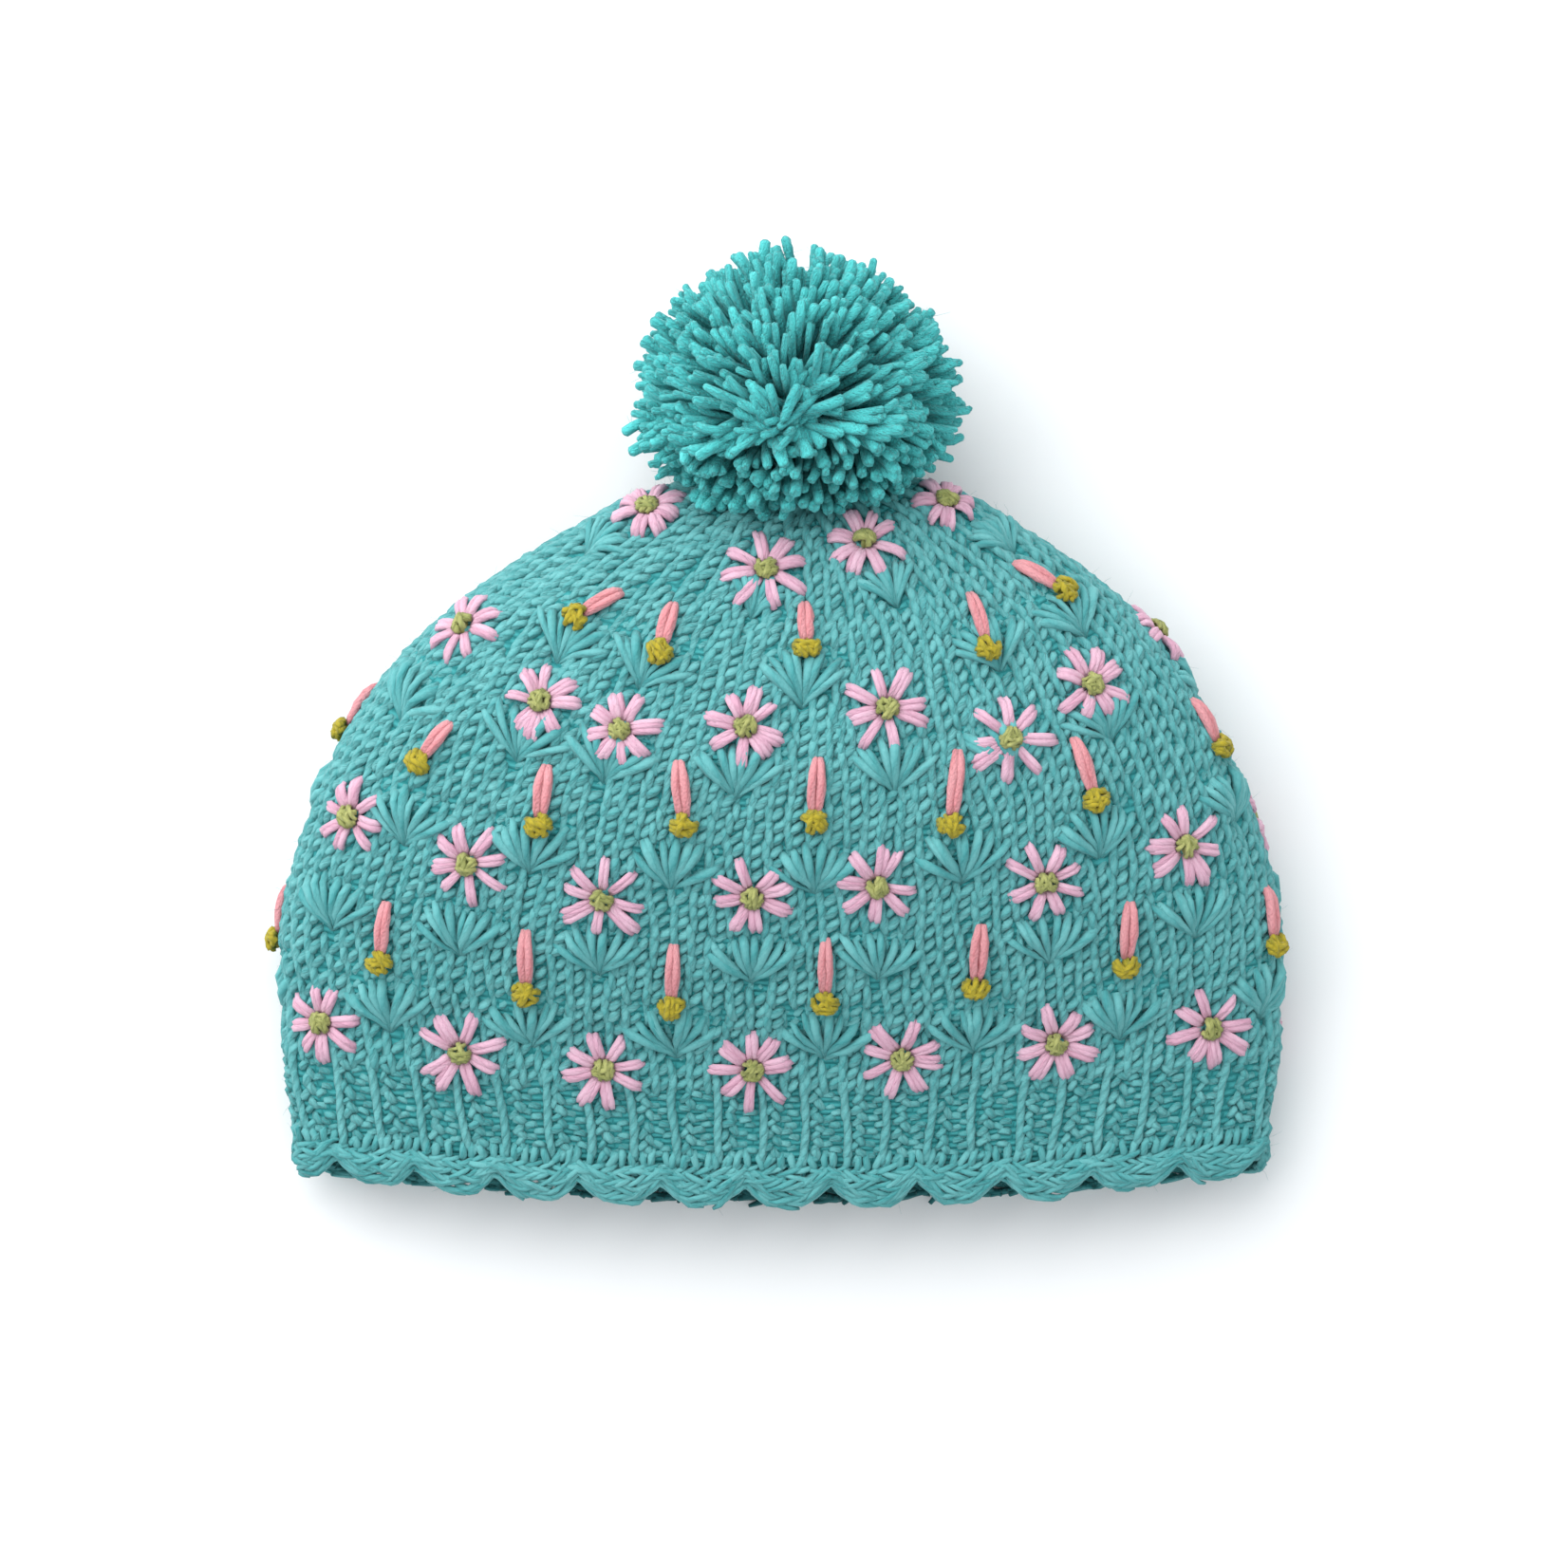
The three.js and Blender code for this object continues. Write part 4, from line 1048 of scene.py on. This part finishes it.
# a ball of wool deep between the strands, too far in to show its twist. It is coloured far darker than the
# pompom wool: painted shade.
CORE_SHADE_LIGHT = (0.01, 0.18, 0.19, 1)
CORE_SHADE_DARK = (0.005, 0.09, 0.10, 1)
CORE_ROUGHNESS = 0.95
core_shade_wool, core_tree, core_shader = new_material("pompom shade", CORE_ROUGHNESS)
felt = noise(core_tree, 700.0, 3.0)
core_colour = blend(core_tree, "RGBA", felt, CORE_SHADE_DARK, CORE_SHADE_LIGHT)
finish_wool(core_tree, core_shader, core_colour, felt, 1.0)
core = bmesh.new()
bmesh.ops.create_icosphere(core, subdivisions=4, radius=1.0)
for vert in core.verts:
    vert.co = Vector(POMPOM_MIDDLE + np.array(vert.co) * POMPOM_HALF * CORE_SIZE)
for face in core.faces:
    face.smooth = True
dressed(built("pompom_core", core, core_shade_wool), "pompom_yarn", "pompom")

# Daisies
# Daisies of thin pink wool, sewn through the knitting. Each has eight padded straight stitches round
# a wound knot of yellow-green wool.

PINK_LIGHT = (0.72, 0.475, 0.58, 1)
PINK_DARK = (0.50, 0.235, 0.335, 1)
GREEN_LIGHT = (0.47, 0.47, 0.17, 1)
GREEN_DARK = (0.13, 0.16, 0.03, 1)

# turn of the first petal in degrees and reach in mm for each daisy seen from above
DAISIES = [
    (8, 10.5), (20, 11.5), (12, 11), (3, 11.5), (30, 12), (18, 11), (10, 11.5),
    (25, 10), (5, 11), (35, 11.5), (15, 11), (40, 10.5), (22, 11), (0, 11),
    (14, 10.5), (28, 11), (9, 10.5), (33, 10.5), (17, 11), (2, 11.5), (38, 11),
    (21, 9.5), (11, 11.5), (27, 10.5), (6, 8.5),
]
HIDDEN_DAISY_REACH = 10.8
PETALS = 8
KNOT_SIZE = 2.6
# how far from the middle each turn of thread crosses the knot, outermost first
KNOT_OFFSETS = (-2.0, 1.9, -1.5, 1.4, -1.0, 0.9, -0.5, 0.4, 0.0)
# petal widths: threads side by side, their radius and the space between their middles, in mm
PETAL_WIDTHS = [(2, 0.9, 1.0), (2, 1.08, 1.28), (3, 0.98, 1.1)]


def flat_frame(normal, heading):
    """Two directions along the surface: the heading laid on it, and the one to its left."""
    along = one_long(heading - normal * heading.dot(normal))
    return along, np.cross(normal, along)


# along a thread of a petal: lift in mm and radius against the thread's own
PETAL_LIFT = np.array([-0.5, 0.35, 0.7, 0.8, 0.6, -0.8])
PETAL_TAPER = np.array([0.75, 0.95, 1.0, 1.02, 1.0, 0.8])
PETAL_START = 2.2
KNOT_TAPER = np.array([0.5, 0.72, 0.84, 0.88, 0.84, 0.72, 0.5])
KNOT_THREAD = 0.64
petal_threads, knot_threads = [], []
steps = np.linspace(0, 1, 6)


def wound_turn(offset, wander, size, points):
    """One turn of thread across a knot at any slant: places sideways and upwards in mm."""
    slant = SHUFFLE.uniform(0, np.pi)
    offset += SHUFFLE.normal(0, wander)
    sweep = np.linspace(-1, 1, points) * math.sqrt(size**2 - offset**2)
    return (sweep * math.cos(slant) - offset * math.sin(slant),
            sweep * math.sin(slant) + offset * math.cos(slant))


def dome(x, y, size):
    """Height of a ball of size 1 over a place of the knot."""
    return np.sqrt(np.maximum(1 - (x**2 + y**2) / size**2, 0))


def embroider_daisy(spot, normal, heading, turn, reach):
    along, left = flat_frame(normal, heading)
    for petal in range(PETALS):
        angle = math.radians(turn + 360 / PETALS * petal + SHUFFLE.normal(0, 6))
        far = reach * SHUFFLE.uniform(0.82, 1.04)
        direction = along * math.cos(angle) + left * math.sin(angle)
        aside = np.cross(normal, direction)
        threads, thick, space = PETAL_WIDTHS[SHUFFLE.choice(3, p=[0.25, 0.45, 0.3])]
        for thread in range(threads):
            offset = (thread - (threads - 1) / 2) * space
            length = far - PETAL_START + SHUFFLE.normal(0, 0.35) - 0.25 * abs(offset)
            x = PETAL_START + steps * length
            y = offset * (0.75 + 0.3 * steps) + SHUFFLE.normal(0, 0.08)
            points = spread_out(spot, x, direction, y, aside)
            radius = thick * PETAL_TAPER * SHUFFLE.normal(1, 0.05)
            petal_threads.append((points, PETAL_LIFT - 0.15 * abs(offset), radius))
    middle = spot + np.linspace(-0.9, 0.9, 7)[:, None] * along * MM
    knot_threads.append((middle, np.full(7, 0.1), KNOT_SIZE * KNOT_TAPER))
    for offset in KNOT_OFFSETS:
        x, y = wound_turn(offset, 0.15, KNOT_SIZE, 7)
        points = spread_out(spot, x, along, y, left)
        lift = -0.2 + 2.2 * dome(x, y, KNOT_SIZE + 0.3) + SHUFFLE.normal(0.2, 0.25)
        knot_threads.append((points, lift, KNOT_THREAD * SHUFFLE.normal(1, 0.1, 7)))


for kind, number, turn, at, _ in FLOWERS:
    if kind != "daisy":
        continue
    here, across, _, normal = seat_frame(turn, at)
    if number is None:
        embroider_daisy(here, normal, across, SHUFFLE.uniform(0, 45), HIDDEN_DAISY_REACH)
    else:
        embroider_daisy(here, normal, np.array([1.0, 0, 0]), *DAISIES[number - 1])

daisy_nodes = [f"daisy_{index + 1:02d}" for index in range(len(DAISIES))]
pink_wool = yarn_material("pink wool", PINK_LIGHT, PINK_DARK, fibre=0.8, bump=0.2)
petals = laid_strands("daisy_petals", petal_threads, 5, pink_wool, ends=0.2, rough=0.07)
dressed(petals, "pink_yarn", *daisy_nodes)
green_wool = yarn_material("yellow-green wool", GREEN_LIGHT, GREEN_DARK, twist=0.4)
knots = laid_strands("daisy_knots", knot_threads, 5, green_wool, ends=0, rough=0.1)
dressed(knots, "pink_yarn", *daisy_nodes)

# Buds
# Buds of coral wool, sewn between the rows of daisies. Each is one long padded loop caught at its
# tip, over a fat wound knot of olive wool.

CORAL_LIGHT = (0.74, 0.36, 0.385, 1)
CORAL_DARK = (0.48, 0.085, 0.105, 1)
OLIVE_LIGHT = (0.50, 0.38, 0.02, 1)
OLIVE_DARK = (0.07, 0.11, 0.012, 1)

# lean from upright in degrees and loop length in mm for each bud seen from above
BUDS = [
    (10, 13), (2, 14), (3, 14), (1, 14.5), (3, 14), (0, 14),
    (42, 10.5), (8, 12.5), (-5, 13.5), (3, 13.5), (5, 16), (-20, 14), (-34, 11.5),
    (56, 11), (12, 11.5), (-2, 10), (-12, 14), (-58, 12),
]
HIDDEN_BUD_LENGTH = 12.5
# sides of the loop and the thread between them: sideways, lift, radius, tint. The thread between lies
# deeper, with a low tint for painted shade
LOOP_THREADS = [(-1, 0.0, 1.0, 0.85), (1, 0.0, 1.0, 0.85), (0, -0.55, 0.75, 0.0)]
WRAP_OFFSETS = (-2.3, 2.2, -1.7, 1.6, -1.1, 1.0, -0.5, 0.4, 0.0)
# along a thread of the loop: lift in mm and radius in mm
LOOP_LIFT = np.array([0.5, 0.8, 1.0, 1.1, 1.1, 1.0, 0.6, -0.5])
LOOP_RADIUS = np.array([0.85, 1.05, 1.16, 1.2, 1.2, 1.16, 1.05, 0.8])
LOOP_START = 2.0
BUD_KNOT = 2.9
BUD_KNOT_CORE = 2.7 * np.array([0.5, 0.75, 0.92, 1.0, 1.0, 0.92, 0.75, 0.5])
BUD_KNOT_THREAD = 0.72
loop_threads, wound_threads = [], []
steps = np.linspace(0, 1, 8)


def embroider_bud(spot, normal, heading, length):
    along, left = flat_frame(normal, heading)
    slit = SHUFFLE.uniform(0.4, 0.85)
    for side, lift, thick, tint in LOOP_THREADS:
        y = LOOP_START + steps * length
        x = side * (slit * np.sin(np.pi * (0.1 + 0.82 * steps)) + 0.35)
        points = spread_out(spot, y, along, x, left)
        radius = LOOP_RADIUS * thick * SHUFFLE.normal(1, 0.05)
        loop_threads.append((points, lift + LOOP_LIFT, radius, tint))
    middle = spot + np.linspace(-1.0, 1.0, 8)[:, None] * left * MM
    # the knot's middle thread has a low tint, and each wrap is lighter where the knot bulges highest:
    # painted shade in its middle and round its foot, painted highlight on its top
    wound_threads.append((middle, np.full(8, 0.4), BUD_KNOT_CORE, np.full(8, 0.2)))
    for offset in WRAP_OFFSETS:
        x, y = wound_turn(offset, 0.2, BUD_KNOT, 8)
        x, y = 1.08 * x, 0.95 * y
        bulge = dome(x, y, BUD_KNOT + 0.4)
        points = spread_out(spot, y, along, x, left)
        lift = -0.3 + 2.9 * bulge + SHUFFLE.normal(0.1, 0.3)
        radius = BUD_KNOT_THREAD * SHUFFLE.normal(1, 0.12, 8)
        wound_threads.append((points, lift, radius, 0.15 + 0.85 * bulge))


for kind, number, turn, at, _ in FLOWERS:
    if kind != "bud":
        continue
    here, _, upward, normal = seat_frame(turn, at)
    if number is None:
        embroider_bud(here, normal, upward, HIDDEN_BUD_LENGTH)
        continue
    lean, length = BUDS[number - 1]
    angle = math.radians(lean)
    heading = np.array([math.sin(angle), math.cos(angle), 0])
    foot = here - flat_frame(normal, heading)[0] * length / 2 * MM
    foot, normal = laid(foot[None], np.zeros(1))
    embroider_bud(foot[0], normal[0], heading, length)

bud_nodes = [f"bud_{index + 1:02d}" for index in range(len(BUDS))]
coral_wool = yarn_material("coral wool", CORAL_LIGHT, CORAL_DARK, twist=0.06, fibre=1.2)
loops = laid_strands("bud_loops", loop_threads, 7, coral_wool, rough=0.07)
dressed(loops, "coral_yarn", *bud_nodes)
olive_wool = yarn_material("olive wool", OLIVE_LIGHT, OLIVE_DARK, twist=0.4)
knots = laid_strands("bud_knots", wound_threads, 6, olive_wool, ends=0, rough=0.1)
dressed(knots, "coral_yarn", *bud_nodes)

# Loose fibres
# Wool sheds fine hairs from every strand. They hang on by their twist and soften the outline of the
# hat and of the pompom.

FIBRE_STEPS = np.linspace(0, 1, 3)
FIBRE_TAPER = np.array([1.0, 0.9, 0.5])


def fibres(name, roots, normals, length, radius, material):
    """Fine curved hairs that start on the yarn and lean any way, mostly along the surface."""
    count = len(roots)
    heading = normals * SHUFFLE.uniform(0.1, 1.0, (count, 1)) + SHUFFLE.normal(0, 0.8, (count, 3))
    heading = one_long(heading)
    curl = SHUFFLE.normal(0, 0.4, (count, 3))
    span = SHUFFLE.uniform(0.5, 1.0, (count, 1, 1)) * length * MM
    t = FIBRE_STEPS[None, :, None]
    paths = roots[:, None] + (heading[:, None] * t + curl[:, None] * t**2) * span
    reference = np.broadcast_to(np.roll(heading, 1, axis=1)[:, None], paths.shape)
    radii = np.tile(radius * FIBRE_TAPER, (count, 1))
    return strands(name, paths, reference, radii, 3, material, ends=0, rough=0)


# number, length and radius of the hairs in mm
HAT_FIBRES = 3000
HAT_FIBRE = (3.2, 0.028)
POMPOM_FIBRES = 3500
POMPOM_FIBRE = (3.6, 0.045)
turn = SHUFFLE.uniform(0, 1, HAT_FIBRES)
at = SHUFFLE.uniform(2, 178, HAT_FIBRES)
roots, outward = skin_point(turn, at, SHUFFLE.uniform(-0.9, 0.1, HAT_FIBRES))
hat_hair = yarn_material("loose teal fibres", TEAL_LIGHT, TEAL_DARK, plies=3.0, twist=0.3, bump=0.36)
hairs = fibres("hat_fibres", roots, outward, *HAT_FIBRE, hat_hair)
dressed(hairs, "turquoise_yarn", "crown")

chosen = SHUFFLE.integers(0, POMPOM_ENDS, POMPOM_FIBRES)
hairs = fibres("pompom_fibres", tuft_tips[chosen], tuft_ways[chosen], *POMPOM_FIBRE, pompom_wool)
dressed(hairs, "pompom_yarn", "pompom")
